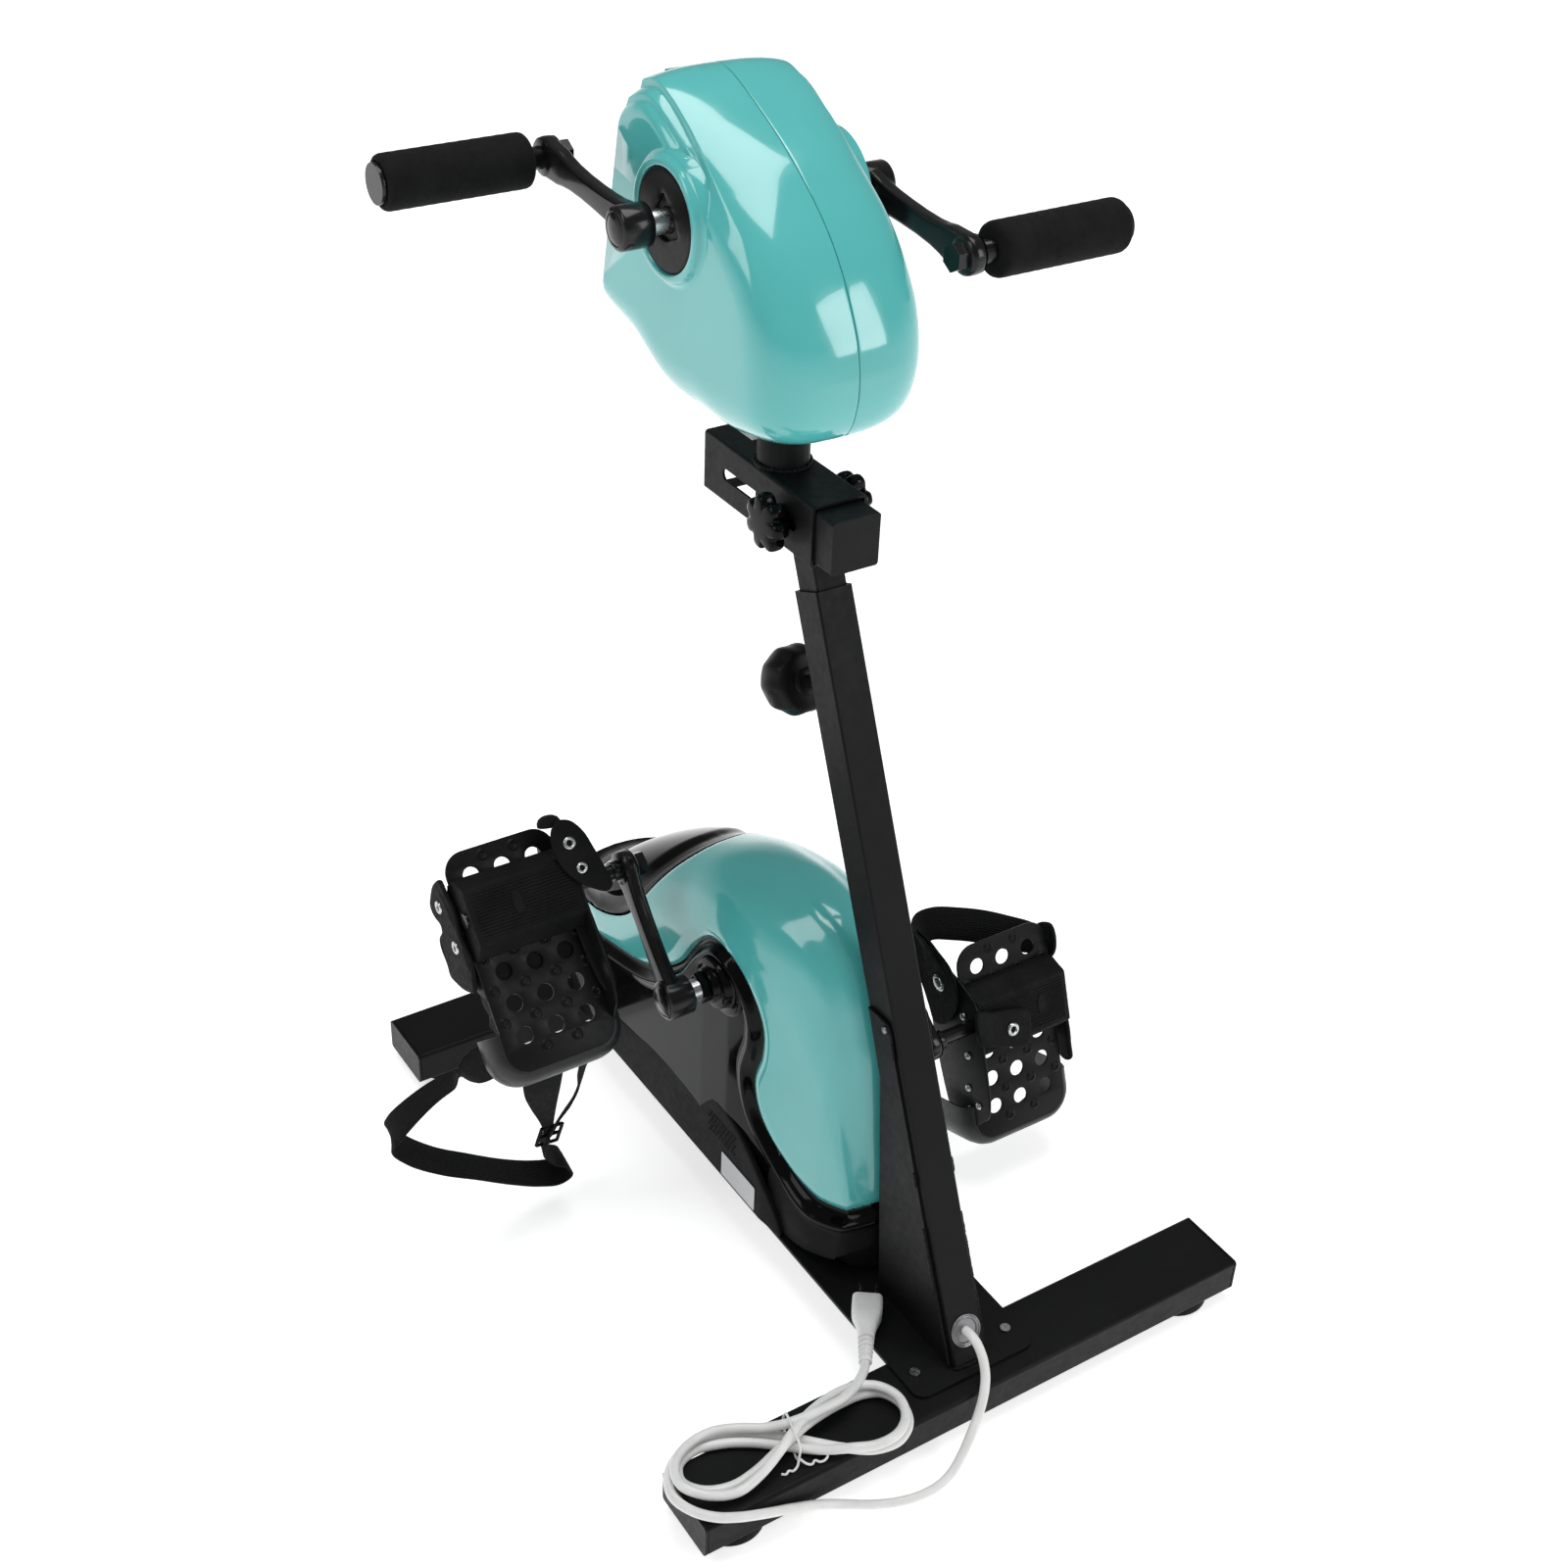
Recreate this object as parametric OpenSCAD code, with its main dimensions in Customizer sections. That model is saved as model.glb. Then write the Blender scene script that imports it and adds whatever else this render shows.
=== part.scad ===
// Motorised arm and leg pedal exerciser, free-standing, adjustable in height and reach.
// X runs across the machine, +Y towards the seated user, Z up, floor at Z = 0.

/* [Base] */
// Length of the front crossbar
front_len = 500; // [440:10:560]
// Length of the rear crossbar
rear_len = 420; // [380:10:500]
// Centre distance of the two crossbars
wheelbase = 557; // [540:1:600]
// Width of the crossbar tube
bar_w = 60; // [50:1:70]
// Height of the crossbar tube
bar_h = 30; // [25:1:35]
// Height of the rubber feet
foot_h = 10; // [8:1:14]
// Width of the long base plate
plate_w = 110; // [100:1:130]

/* [Post and head carriage] */
// Lean of the post towards the user
lean = 23.1; // [18:0.1:25]
// Length of the post tube along its axis
post_len = 598; // [560:1:620]
// Side of the outer post tube
post_w = 30; // [30:1:34]
// Side of the inner post tube
mast_w = 25; // [22:0.5:25]
// Length of the slotted sleeve
sleeve_len = 141; // [120:1:160]
// Width of the slotted sleeve
sleeve_w = 44; // [42:1:50]
// Height of the slotted sleeve
sleeve_h = 46; // [44:1:52]

/* [Cranks] */
// Centre to centre length of a hand crank arm
hand_r = 120; // [90:1:130]
// Angle of the left hand crank above the horizontal
hand_a = 5.2; // [-30:0.1:45]
// Centre to centre length of a pedal crank arm
leg_r = 108; // [90:1:115]
// Angle of the left pedal crank above the horizontal
leg_a = 47; // [0:1:90]
// Length of a foam grip
grip_len = 108; // [100:1:120]
// Diameter of a foam grip
grip_d = 38; // [34:1:42]

/* [Pedals] */
// Width of a pedal footplate
pedal_w = 92; // [84:1:96]
// Lean of the hanging left pedal from the vertical
tilt_l = 41; // [0:1:60]
// Lean of the hanging right pedal from the vertical
tilt_r = 20; // [0:1:60]

/* [Hidden] */
$fn = 48;
run = 0.05;
bar_z = foot_h + bar_h / 2;
deck = foot_h + bar_h;
plate_t = 3;
floor_z = deck + plate_t;
post_y = 10.3;
wall = 2;
hand_y = 349;
hand_z = 835;
leg_y = 276.5;
leg_z = 241;
mast_in = 270;
block_y0 = 209;
block_y1 = 306;
block_w = 39;
block_h = 40;
block_z = 643;
clamp_y = 266;
sleeve_y0 = 230;
sleeve_z0 = 620.5;
stub_y = 302;
stub_r = 19;
knob_t = 526;
grommet_t = 21.5;
axle_r = 8.5;
spindle_r = 6;
hand_boss = 108;
leg_boss = 110;
grip_x = 110;
pedal_x = 191;
head_w = 66;
unit_w = 62;
shell_t = 2.5;
face_lean = 11.3;
cord_r = 3.7;
cord_sides = 10;

// Outline points of the head in Y and Z, from the user side round the front to the bottom.
head_pts = [[412, 910], [396, 917], [341, 899], [297, 873], [258, 845], [233, 808], [219, 776],
    [215, 742], [227, 716], [262, 701], [316, 696], [367, 699], [420, 720], [446, 740]];
head_in = [[430, 899], [395, 914], [343, 895], [300, 869], [262, 841], [237, 806], [223, 775],
    [219, 743], [231, 719], [264, 705], [316, 700], [366, 703], [419, 723], [462, 756]];
// Outline points of the drive unit in Y and Z, from the rear foot over the top to the front foot.
unit_pts = [[570, 43], [577, 75], [568, 127], [546, 170], [505, 214], [461, 250], [404, 289],
    [347, 318], [296, 335], [249, 342], [204, 336], [172, 313], [150, 275], [133, 225], [118, 170],
    [107, 120], [101, 80], [99, 43]];
unit_in = [[566, 35], [573, 75], [564, 126], [543, 167], [502, 211], [459, 247], [402, 285],
    [346, 314], [295, 331], [249, 338], [206, 332], [175, 310], [154, 273], [137, 224], [122, 169],
    [111, 119], [105, 80], [103, 35]];
// Half-widths of the drive unit and of the head at stations along Y.
unit_plan = [[90, 17], [104, 22], [120, 33], [150, 43], [190, 50], [230, 58], [262, unit_w],
    [600, unit_w]];
head_plan = [[200, 30], [216, 42], [226, 53], [242, 61], [268, head_w], [480, head_w]];
// Parting lines of the drive unit covers, in Y and Z.
cap_cut = [[352, 400], [360, 305], [382, 262], [415, 232], [480, 200], [620, 150], [620, 400]];
side_cut = [[90, 30], [90, 128], [120, 112], [152, 104], [182, 116], [203, 142], [214, 180],
    [226, 228], [240, 262], [263, 278], [292, 276], [315, 255], [340, 214], [380, 190], [450, 168],
    [620, 110], [620, 30]];
tray_cut = [[204, 30], [206, 84], [220, 97], [245, 111], [284, 117], [344, 107], [414, 90],
    [500, 84], [620, 84], [620, 30]];

// A rectangle with round corners, about the origin.
module rrect(w, h, r) {
    square([w - 2 * r, h], center = true);
    square([w, h - 2 * r], center = true);
    for (x = [-1, 1], y = [-1, 1])
        translate([x * (w / 2 - r), y * (h / 2 - r)])
            circle(r);
}

// A square-section tube along Z with round outer edges.
module box_tube(w, h, len, r, t) {
    difference() {
        linear_extrude(len)
            rrect(w, h, r);
        translate([-w / 2 + t, -h / 2 + t, -1])
            cube([w - 2 * t, h - 2 * t, len + 2]);
    }
}

// A cylinder along X from x0 to x1.
module xcyl(r, x0, x1, y = 0, z = 0) {
    translate([x0, y, z])
        rotate([0, 90, 0])
            cylinder(r = r, h = x1 - x0);
}

// An outline drawn in Y and Z, extruded along X from x0 to x1.
module yz(x0, x1) {
    translate([x0, 0, 0])
        rotate([90, 0, 90])
            linear_extrude(x1 - x0)
                children();
}

// The frame of the post: Z along the tube, +Y out of its user side.
module on_post() {
    translate([0, post_y, floor_z])
        rotate([-lean, 0, 0])
            children();
}

// The frame of the control face: Z out of the face, Y down it, from its middle.
module on_face() {
    translate([0, 429, 825])
        rotate([face_lean - 90, 0, 0])
            children();
}

// The frame of a pedal: Y towards the heel, Z out of the foot side.
module on_pedal(s) {
    a = s < 0 ? leg_a : leg_a + 180;
    tilt = s < 0 ? tilt_l : tilt_r;
    translate([s * pedal_x, leg_y + leg_r * cos(a), leg_z + leg_r * sin(a)])
        rotate([-90 - tilt, 0, 0])
            children();
}

// Spindle position of crank side s, as [y, z].
function hand_at(s) = let (a = s < 0 ? hand_a : hand_a + 180)
    [hand_y + hand_r * cos(a), hand_z + hand_r * sin(a)];
function leg_at(s) = let (a = s < 0 ? leg_a : leg_a + 180)
    [leg_y + leg_r * cos(a), leg_z + leg_r * sin(a)];

module crossbar(len, y) {
    translate([-len / 2 + 2, y, bar_z])
        rotate([90, 0, 90])
            box_tube(bar_w, bar_h, len - 4, 3, wall);
}

module front_crossbar() {
    color("#1b1c1f")
        crossbar(front_len, 0);
}

module rear_crossbar() {
    color("#1b1c1f")
        crossbar(rear_len, wheelbase);
}

module end_cap(x, y) {
    s = sign(x);
    translate([x - s, y, bar_z])
        rotate([90, 0, 90])
            translate([0, 0, -1])
                linear_extrude(2)
                    rrect(bar_w, bar_h, 3);
    translate([x - s * 8, y, bar_z])
        cube([12, bar_w - 2 * wall - 0.4, bar_h - 2 * wall - 0.4], center = true);
}

module end_caps() {
    color("#151517")
        for (s = [-1, 1]) {
            end_cap(s * front_len / 2, 0);
            end_cap(s * rear_len / 2, wheelbase);
        }
}

module feet() {
    color("#101012")
        for (s = [-1, 1]) {
            translate([s * (front_len / 2 - 37), 0, 0])
                cylinder(r = 28, h = foot_h);
            translate([s * (rear_len / 2 - 37), wheelbase, 0])
                cylinder(r = 28, h = foot_h);
        }
}

module plate_outline() {
    translate([0, wheelbase / 2 + 5])
        rrect(plate_w, wheelbase + 40, 10);
}

screw_x = 43;
screw_y = 8;
module base_plate() {
    color("#1b1c1f")
        difference() {
            translate([0, 0, deck])
                linear_extrude(plate_t)
                    plate_outline();
            for (s = [-1, 1], y = [screw_y, wheelbase])
                translate([s * screw_x, y, deck - 1])
                    cylinder(r = 2.6, h = 6);
        }
}

module plate_screws() {
    color("silver")
        for (s = [-1, 1], y = [screw_y, wheelbase])
            translate([s * screw_x, y, 0]) {
                translate([0, 0, floor_z])
                    cylinder(r = 4, h = 2.2);
                translate([0, 0, deck])
                    cylinder(r = 2.5, h = plate_t);
            }
}

// The post: leaning tube, welded foot plates round its back, and the boss of the height knob.
module post() {
    color("#1b1c1f")
        difference() {
            union() {
                difference() {
                    on_post()
                        translate([0, 0, -30])
                            box_tube(post_w, post_w, post_len + 30, 1.5, wall);
                    translate([-50, -100, floor_z - 100])
                        cube([100, 200, 100]);
                }
                for (s = [-1, 1])
                    yz(s * (post_w / 2 + 0.5) - 1.5, s * (post_w / 2 + 0.5) + 1.5)
                        polygon([[-1, floor_z], [93, floor_z], [113, 246], [134, 300], [109, 300]]);
                yz(-post_w / 2 - 1, post_w / 2 + 1)
                    polygon([[90, floor_z], [92.5, floor_z], [112.4, 245], [109, 245]]);
                on_post()
                    translate([0, post_w / 2 - 1, knob_t])
                        rotate([-90, 0, 0])
                            cylinder(r = 9, h = 11);
            }
            on_post()
                translate([0, 8, knob_t])
                    rotate([-90, 0, 0])
                        cylinder(r = 5 + run, h = 30);
            on_post()
                translate([0, -20, grommet_t])
                    rotate([-90, 0, 0])
                        cylinder(r = 11, h = 14);
        }
}

module grommet() {
    color("silver")
        on_post()
            translate([0, -post_w / 2, grommet_t])
                rotate([90, 0, 0])
                    difference() {
                        union() {
                            cylinder(r = 14.5, h = 2.5);
                            translate([0, 0, -3])
                                cylinder(r = 10.9, h = 3);
                        }
                        translate([0, 0, -4])
                            cylinder(r = 9, h = 8);
                    }
}

// Points of a round tube swept along a path, as one closed solid.
function unit(v) = v / norm(v);
function along(p, i) = unit(p[min(i + 1, len(p) - 1)] - p[max(i - 1, 0)]);
function side(t) = unit(cross(t, abs(t[2]) < 0.8 ? [0, 0, 1] : [1, 0, 0]));
function ring(p, i, r, n) = let (t = along(p, i), u = side(t), v = cross(t, u))
    [for (k = [0:n - 1]) p[i] + r * (cos(360 * k / n) * u + sin(360 * k / n) * v)];
module cord_tube(p, r, n) {
    m = len(p);
    polyhedron(
        points = [for (i = [0:m - 1]) each ring(p, i, r, n)],
        faces = concat(
            [[for (k = [0:n - 1]) n - 1 - k]],
            [for (i = [0:m - 2], k = [0:n - 1])
                [i * n + k, i * n + (k + 1) % n, (i + 1) * n + (k + 1) % n]],
            [for (i = [0:m - 2], k = [0:n - 1])
                [i * n + k, (i + 1) * n + (k + 1) % n, (i + 1) * n + k]],
            [[for (k = [0:n - 1]) (m - 1) * n + k]]),
        convexity = 10);
}

// A smooth path through route points.
function bend(a, b, c, d, t) = 0.5 * (2 * b + (c - a) * t + (2 * a - 5 * b + 4 * c - d) * t * t
    + (3 * b - a - 3 * c + d) * t * t * t);
function smooth(p, n) = [for (i = [0:len(p) - 2], k = [0:n - 1])
    bend(p[max(i - 1, 0)], p[i], p[i + 1], p[min(i + 2, len(p) - 1)], k / n), p[len(p) - 1]];

// Strap routes in X and Z, from the outer to the inner side of each pedal.
strap_t = 2.4;
strap_y_l = 338;
strap_y_r = -50;
strap_l = [[-230.5, 264], [-228.6, 247], [-226, 227], [-230, 208], [-244, 194], [-268, 182],
    [-294, 165], [-315, 147],
    [-302, 122], [-268, 97], [-236, 74], [-203, 52], [-174, 38], [-163, 42], [-178, 62],
    [-184, 80], [-172, 102], [-160, 128], [-153, 170], [-142.6, 215], [-141, 250], [-140.2, 290]];
strap_r = [[-48.8, 6], [-49, 40], [-48.6, 55], [-45.5, 63], [-38, 66], [-22, 63], [2, 55],
    [22, 47], [36, 40], [46, 33], [49, 24], [49, 6]];
// Route of the cord from the grommet down to the floor and up on to the crossbar.
lead_pts = [[0, 12, 65.5], [0, 5, 68.4], [0, -3, 69.8], [0, -10.5, 67.5], [-1, -19.5, 61],
    [-5, -29, 52.5], [-12, -37, 43.5], [-21, -43.5, 33.5], [-31, -49, 23], [-42, -54, 13],
    [-54, -58.5, 6], [-68, -61.5, 3.9], [-86, -61.5, 3.9], [-104, -57, 3.9], [-122, -49, 4.4],
    [-139, -41, 7.5], [-156, -36, 13], [-174, -34.4, 20], [-192, -34.3, 27.5],
    [-209, -34.3, 35], [-226, -33, 42], [-241, -27, 45.5], [-252, -14, 45.5]];
// Route of the cord from the hank up to the plug.
tail_pts = [[-122, 4.5, 57], [-112, 5.5, 56.5], [-103, 8.5, 56], [-94, 13, 55.2],
    [-86, 18.2, 54], [-79, 24, 52.5], [-73, 31, 51.2]];

module cord_lead() {
    color("white")
        cord_tube(smooth(lead_pts, 3), cord_r, cord_sides);
}

module cord_hank() {
    color("white")
        translate([0, 0, deck + 0.1])
            linear_extrude(21.8) {
                translate([-209, 11])
                    rotate(-8)
                        rrect(104, 56, 26);
                translate([-115, -13])
                    rotate(-12)
                        rrect(102, 56, 26);
            }
}

module cord_tail() {
    color("white")
        cord_tube(smooth(tail_pts, 3), cord_r, cord_sides);
}

// The plug lies along the cord's last stretch, prongs away from the hank.
module on_plug() {
    translate([-73, 31, 51.2])
        rotate([0, 0, -36])
            children();
}

module plug() {
    color("white")
        on_plug() {
            rotate([-90, 0, 0])
                cylinder(r1 = 5.2, r2 = 7.2, h = 30);
            translate([0, 30, 0])
                rotate([-90, 0, 0])
                    linear_extrude(34)
                        rrect(24, 15.6, 4);
            for (s = [-1, 1])
                translate([s * 6.35 - 0.75, 63, -3.2])
                    cube([1.5, 16, 6.4]);
        }
}

module twist_tie() {
    color("white")
        translate([-159, 0.5, deck])
            rotate([90, 0, 78])
                difference() {
                    translate([0, 11.6, 0])
                        linear_extrude(4, center = true)
                            square([62, 22.8], center = true);
                    translate([0, 11.4, 0])
                        linear_extrude(6, center = true)
                            square([59, 21.2], center = true);
                }
}

// A closed plan outline from half-widths at stations along Y.
function plan(p, d) = concat([for (q = p) [q[1] - d, q[0]]],
    [for (i = [1:len(p)]) let (q = p[len(p) - i]) [d - q[1], q[0]]]);

// The full skin of the drive unit, before it is parted into covers.
module unit_skin() {
    difference() {
        intersection() {
            yz(-70, 70)
                polygon(unit_pts);
            linear_extrude(400)
                polygon(plan(unit_plan, 0));
        }
        intersection() {
            yz(-70, 70)
                polygon(unit_in);
            linear_extrude(400)
                polygon(plan(unit_plan, shell_t));
        }
    }
}

module axle_hole(r) {
    xcyl(r, -120, 120, leg_y, leg_z);
}

module cowl() {
    color("#4fc4bf")
        difference() {
            unit_skin();
            yz(-90, 90)
                polygon(cap_cut);
            yz(-90, 90)
                polygon(side_cut);
        }
}

module top_cap() {
    color("#0c0c0e")
        intersection() {
            unit_skin();
            yz(-90, 90)
                polygon(cap_cut);
            translate([-100, 0, 0])
                cube([200, 700, 500]);
        }
}

module side_cover(s) {
    x0 = s < 0 ? -100 : 0;
    difference() {
        intersection() {
            union() {
                unit_skin();
                xcyl(34, s < 0 ? -74 : unit_w - 1, s < 0 ? -unit_w + 1 : 74, leg_y, leg_z);
            }
            translate([x0, 0, 0])
                cube([100, 700, 500]);
            yz(-90, 90)
                difference() {
                    polygon(side_cut);
                    polygon(tray_cut);
                    polygon(cap_cut);
                }
        }
        xcyl(31, -71, 71, leg_y, leg_z);
        axle_hole(axle_r + 1.5);
    }
}

module side_cover_left() {
    color("#0c0c0e")
        side_cover(-1);
}

module side_cover_right() {
    color("#0c0c0e")
        side_cover(1);
}

module base_cover() {
    color("#2b2c30")
        intersection() {
            unit_skin();
            yz(-90, 90)
                polygon(tray_cut);
        }
}

// Belt drive geometry: wheel radius, pinion radius, pinion centre.
leg_pulley_r = 74;
leg_pinion_r = 14;
drive_at = [438, 118];
hand_pulley_r = 48;
hand_pinion_r = 11;
head_drive_at = [296, 765];
belt_t = 2.2;
belt_gap = 0.6;

// Points round the arc of radius r about c, from angle a0 up to a1.
function arc(c, r, a0, a1, step) = [for (k = [0:round((a1 - a0) / step)])
    let (a = a0 + (a1 - a0) * k / round((a1 - a0) / step)) c + r * [cos(a), sin(a)]];

// Closed line round pulley a and pinion b at their radii plus g.
function belt_line(a, ra, b, rb, g) = let (d = b - a, w = acos((ra - rb) / norm(d)),
    h = atan2(d[1], d[0]))
    concat(arc(a, ra + g, h + w, h + 360 - w, 5), arc(b, rb + g, h - w, h + w, 12));

// A flat belt from x0 to x1 round pulley a and pinion b.
module belt(a, ra, b, rb, x0, x1) {
    difference() {
        yz(x0, x1)
            polygon(belt_line(a, ra, b, rb, belt_gap + belt_t));
        yz(x0 - 1, x1 + 1)
            polygon(belt_line(a, ra, b, rb, belt_gap));
    }
}

module drive_belt() {
    color("#18181a")
        belt([leg_y, leg_z], leg_pulley_r, drive_at, leg_pinion_r, 16, 27);
}

module head_belt() {
    color("#18181a")
        belt([hand_y, hand_z], hand_pulley_r, head_drive_at, hand_pinion_r, 20, 29);
}

module drive_frame() {
    color("#55585c")
        difference() {
            union() {
                for (s = [-1, 1])
                    yz(s * 42 - 2, s * 42 + 2)
                        polygon([[200, 46], [480, 46], [480, 150], [430, 165], [308, 262],
                            [290, 272], [262, 272], [246, 258], [200, 120]]);
                translate([-44, 200, floor_z])
                    cube([88, 280, 3.01]);
            }
            xcyl(16, -60, 60, leg_y, leg_z);
            xcyl(12, -60, -20, drive_at[0], drive_at[1]);
            xcyl(34, 20, 60, drive_at[0], drive_at[1]);
        }
}

module bearing(x0, x1, y, z) {
    difference() {
        xcyl(16 - 0.02, x0, x1, y, z);
        xcyl(axle_r + run, x0 - 1, x1 + 1, y, z);
    }
}

module drive_bearings() {
    color("silver")
        for (s = [-1, 1])
            bearing(s * 42 - 5, s * 42 + 5, leg_y, leg_z);
}

module drive_motor() {
    color("#8a8d92")
        difference() {
            union() {
                xcyl(34, -39.9, 8, drive_at[0], drive_at[1]);
                xcyl(12 - 0.1, -44, -39.8, drive_at[0], drive_at[1]);
            }
            xcyl(5 + run, -4, 12, drive_at[0], drive_at[1]);
        }
}

module pinion(at, r, x0, x1, sx) {
    xcyl(r, x0, x1, at[0], at[1]);
    xcyl(5, sx, x0 + 1, at[0], at[1]);
}

module drive_motor_pulley() {
    color("silver")
        pinion(drive_at, leg_pinion_r, 15, 28, -3);
}

module head_motor_pulley() {
    color("silver")
        pinion(head_drive_at, hand_pinion_r, 19, 30, 2);
}

module control_board() {
    color("#1f6b3a") {
        translate([-27, 148, 62])
            cube([54, 48, 1.6]);
        translate([-22, 154, 63.5])
            cube([20, 30, 22]);
        translate([4, 156, 63.5])
            cube([18, 18, 26]);
        for (x = [-23, 23], y = [152, 192])
            translate([x, y, floor_z])
                cylinder(r = 3, h = 62 - floor_z);
    }
}

module pulley(r, x0, x1, y, z) {
    difference() {
        union() {
            xcyl(r, x0, x1, y, z);
            xcyl(18, x0 - 6, x1 + 2, y, z);
        }
        for (a = [0:60:300])
            xcyl(r * 0.16, x0 - 10, x1 + 10, y + r * 0.6 * cos(a), z + r * 0.6 * sin(a));
        xcyl(axle_r, x0 - 10, x1 + 10, y, z);
    }
}

module leg_pulley() {
    color("#303236")
        pulley(leg_pulley_r, 16, 27, leg_y, leg_z);
}

module hand_pulley() {
    color("#303236")
        pulley(hand_pulley_r, 20, 29, hand_y, hand_z);
}

module leg_axle() {
    color("silver")
        xcyl(axle_r, -leg_boss + 2, leg_boss - 2, leg_y, leg_z);
}

module hand_axle() {
    color("silver")
        xcyl(axle_r, -hand_boss + 2, hand_boss - 2, hand_y, hand_z);
}

// One forged crank arm on side s: boss, tapering arm and eye.
module arm(s, y, z, r, a, boss_x, x0) {
    translate([0, y, z])
        rotate([s < 0 ? a : a + 180, 0, 0])
            difference() {
                union() {
                    xcyl(15, min(s * boss_x, s * (boss_x - 24)), max(s * boss_x, s * (boss_x - 24)));
                    xcyl(12, min(s * x0, s * (x0 + 12)), max(s * x0, s * (x0 + 12)), r, 0);
                    yz(min(s * (x0 + 1), s * (x0 + 11)), max(s * (x0 + 1), s * (x0 + 11)))
                        polygon([[8, 12], [r - 4, 9], [r - 4, -9], [8, -12]]);
                }
                xcyl(axle_r, min(s * (boss_x - 2), s * (boss_x - 40)), max(s * (boss_x - 2), s * (boss_x - 40)));
                xcyl(spindle_r, min(s * (x0 - 5), s * (x0 + 20)), max(s * (x0 - 5), s * (x0 + 20)), r, 0);
            }
}

module hand_arms() {
    color("#141416")
        for (s = [-1, 1])
            arm(s, hand_y, hand_z, hand_r, hand_a, hand_boss, 86);
}

module leg_arms() {
    color("#141416")
        for (s = [-1, 1])
            arm(s, leg_y, leg_z, leg_r, leg_a, leg_boss, 94);
}

// A spindle through a crank eye: hexagon head inside, collar outside, shaft to x1.
module spindle(s, at, x0, x1, r, end_r) {
    mirror([s < 0 ? 1 : 0, 0, 0])
        translate([0, at[0], at[1]]) {
            translate([x0 - 9, 0, 0])
                rotate([0, 90, 0])
                    cylinder(r = 10, h = 9, $fn = 6);
            xcyl(spindle_r, x0 - 1, x0 + 13);
            xcyl(8, x0 + 12, x0 + 19);
            xcyl(r, x0 + 18, x1);
            if (end_r > 0)
                xcyl(end_r, x1, x1 + 3);
        }
}

module hand_spindles() {
    color("#2a2a2d")
        for (s = [-1, 1])
            spindle(s, hand_at(s), 86, grip_x + grip_len + 0.5, 8, 14);
}

module leg_spindles() {
    color("#2a2a2d")
        for (s = [-1, 1])
            spindle(s, leg_at(s), 94, 238.5, spindle_r, 0);
}

module grip(s) {
    at = hand_at(s);
    mirror([s < 0 ? 1 : 0, 0, 0])
        difference() {
            xcyl(grip_d / 2, grip_x, grip_x + grip_len, at[0], at[1]);
            xcyl(8 + run, grip_x - 1, grip_x + grip_len + 1, at[0], at[1]);
        }
}

module grip_left() {
    color("#222326")
        grip(-1);
}

module grip_right() {
    color("#222326")
        grip(1);
}

// Ribbed rubber block that the spindle runs through.
module pedal_block(s) {
    on_pedal(s)
        difference() {
            yz(-44, 44)
                polygon([[-32, 11], [-32, 5], [-22, -11], [22, -11], [32, 5], [32, 11]]);
            xcyl(spindle_r + run, -60, 60);
            for (y = [-16:4:16])
                translate([-38, y - 0.8, -12])
                    cube([76, 1.6, 2]);
        }
}

module pedal_block_left() {
    color("#1d1d20")
        pedal_block(-1);
}

module pedal_block_right() {
    color("#1d1d20")
        pedal_block(1);
}

toe_y = -52;
heel_y = 124;
rim_h = 16;
// The right plate is bolted a half hole pitch further towards the toe than the left.
function plate_at(s) = s > 0 ? -12.5 : 0;
// Height of the heel stop, which clears the floor at the bottom of the crank circle.
function heel_h(s) = s > 0 ? 54 : 34;

module footplate(s) {
    on_pedal(s)
        translate([0, plate_at(s), 0])
            difference() {
                union() {
                    translate([0, (toe_y + heel_y) / 2, 11])
                        linear_extrude(2)
                            rrect(pedal_w, heel_y - toe_y, 14);
                    yz(-s * pedal_w / 2 - 1, -s * pedal_w / 2 + 1)
                        polygon([[-44, 44], [-32, 22], [-8, -11], [60, -12], [94, -8],
                            [106, 8], [118, 20], [118, 44], [84, 54], [10, 58], [-26, 51]]);
                    translate([s * pedal_w / 2 - 1, -30, 11])
                        cube([2, 92, rim_h]);
                    translate([-pedal_w / 2 + 14, heel_y - 2, 11])
                        cube([pedal_w - 28, 2, heel_h(s)]);
                }
                for (x = [-26.3, 0, 26.3], k = [0:5])
                    translate([x, -31.8 + 25.6 * k, 5])
                        cylinder(r = 7, h = 12);
                translate([0, -plate_at(s), 0])
                    xcyl(8.5, -60, 60);
            }
}

module footplate_left() {
    color("#1d1d20")
        footplate(-1);
}

module footplate_right() {
    color("#1d1d20")
        footplate(1);
}

module pedal_screws(s) {
    on_pedal(s)
        translate([0, plate_at(s), 0]) {
            for (p = [[5.5, 9.4], [41.5, 10], [73, 16], [93, 17], [86, 4]])
                xcyl(3.2, min(-s * (pedal_w / 2 + 1), -s * (pedal_w / 2 + 3)),
                    max(-s * (pedal_w / 2 + 1), -s * (pedal_w / 2 + 3)), p[0], p[1]);
            for (y = [-15, 17])
                xcyl(4, min(s * (pedal_w / 2 + 1), s * (pedal_w / 2 + 4.4)),
                    max(s * (pedal_w / 2 + 1), s * (pedal_w / 2 + 4.4)), y, 20);
        }
}

module pedal_screws_left() {
    color("silver")
        pedal_screws(-1);
}

module pedal_screws_right() {
    color("silver")
        pedal_screws(1);
}

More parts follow.
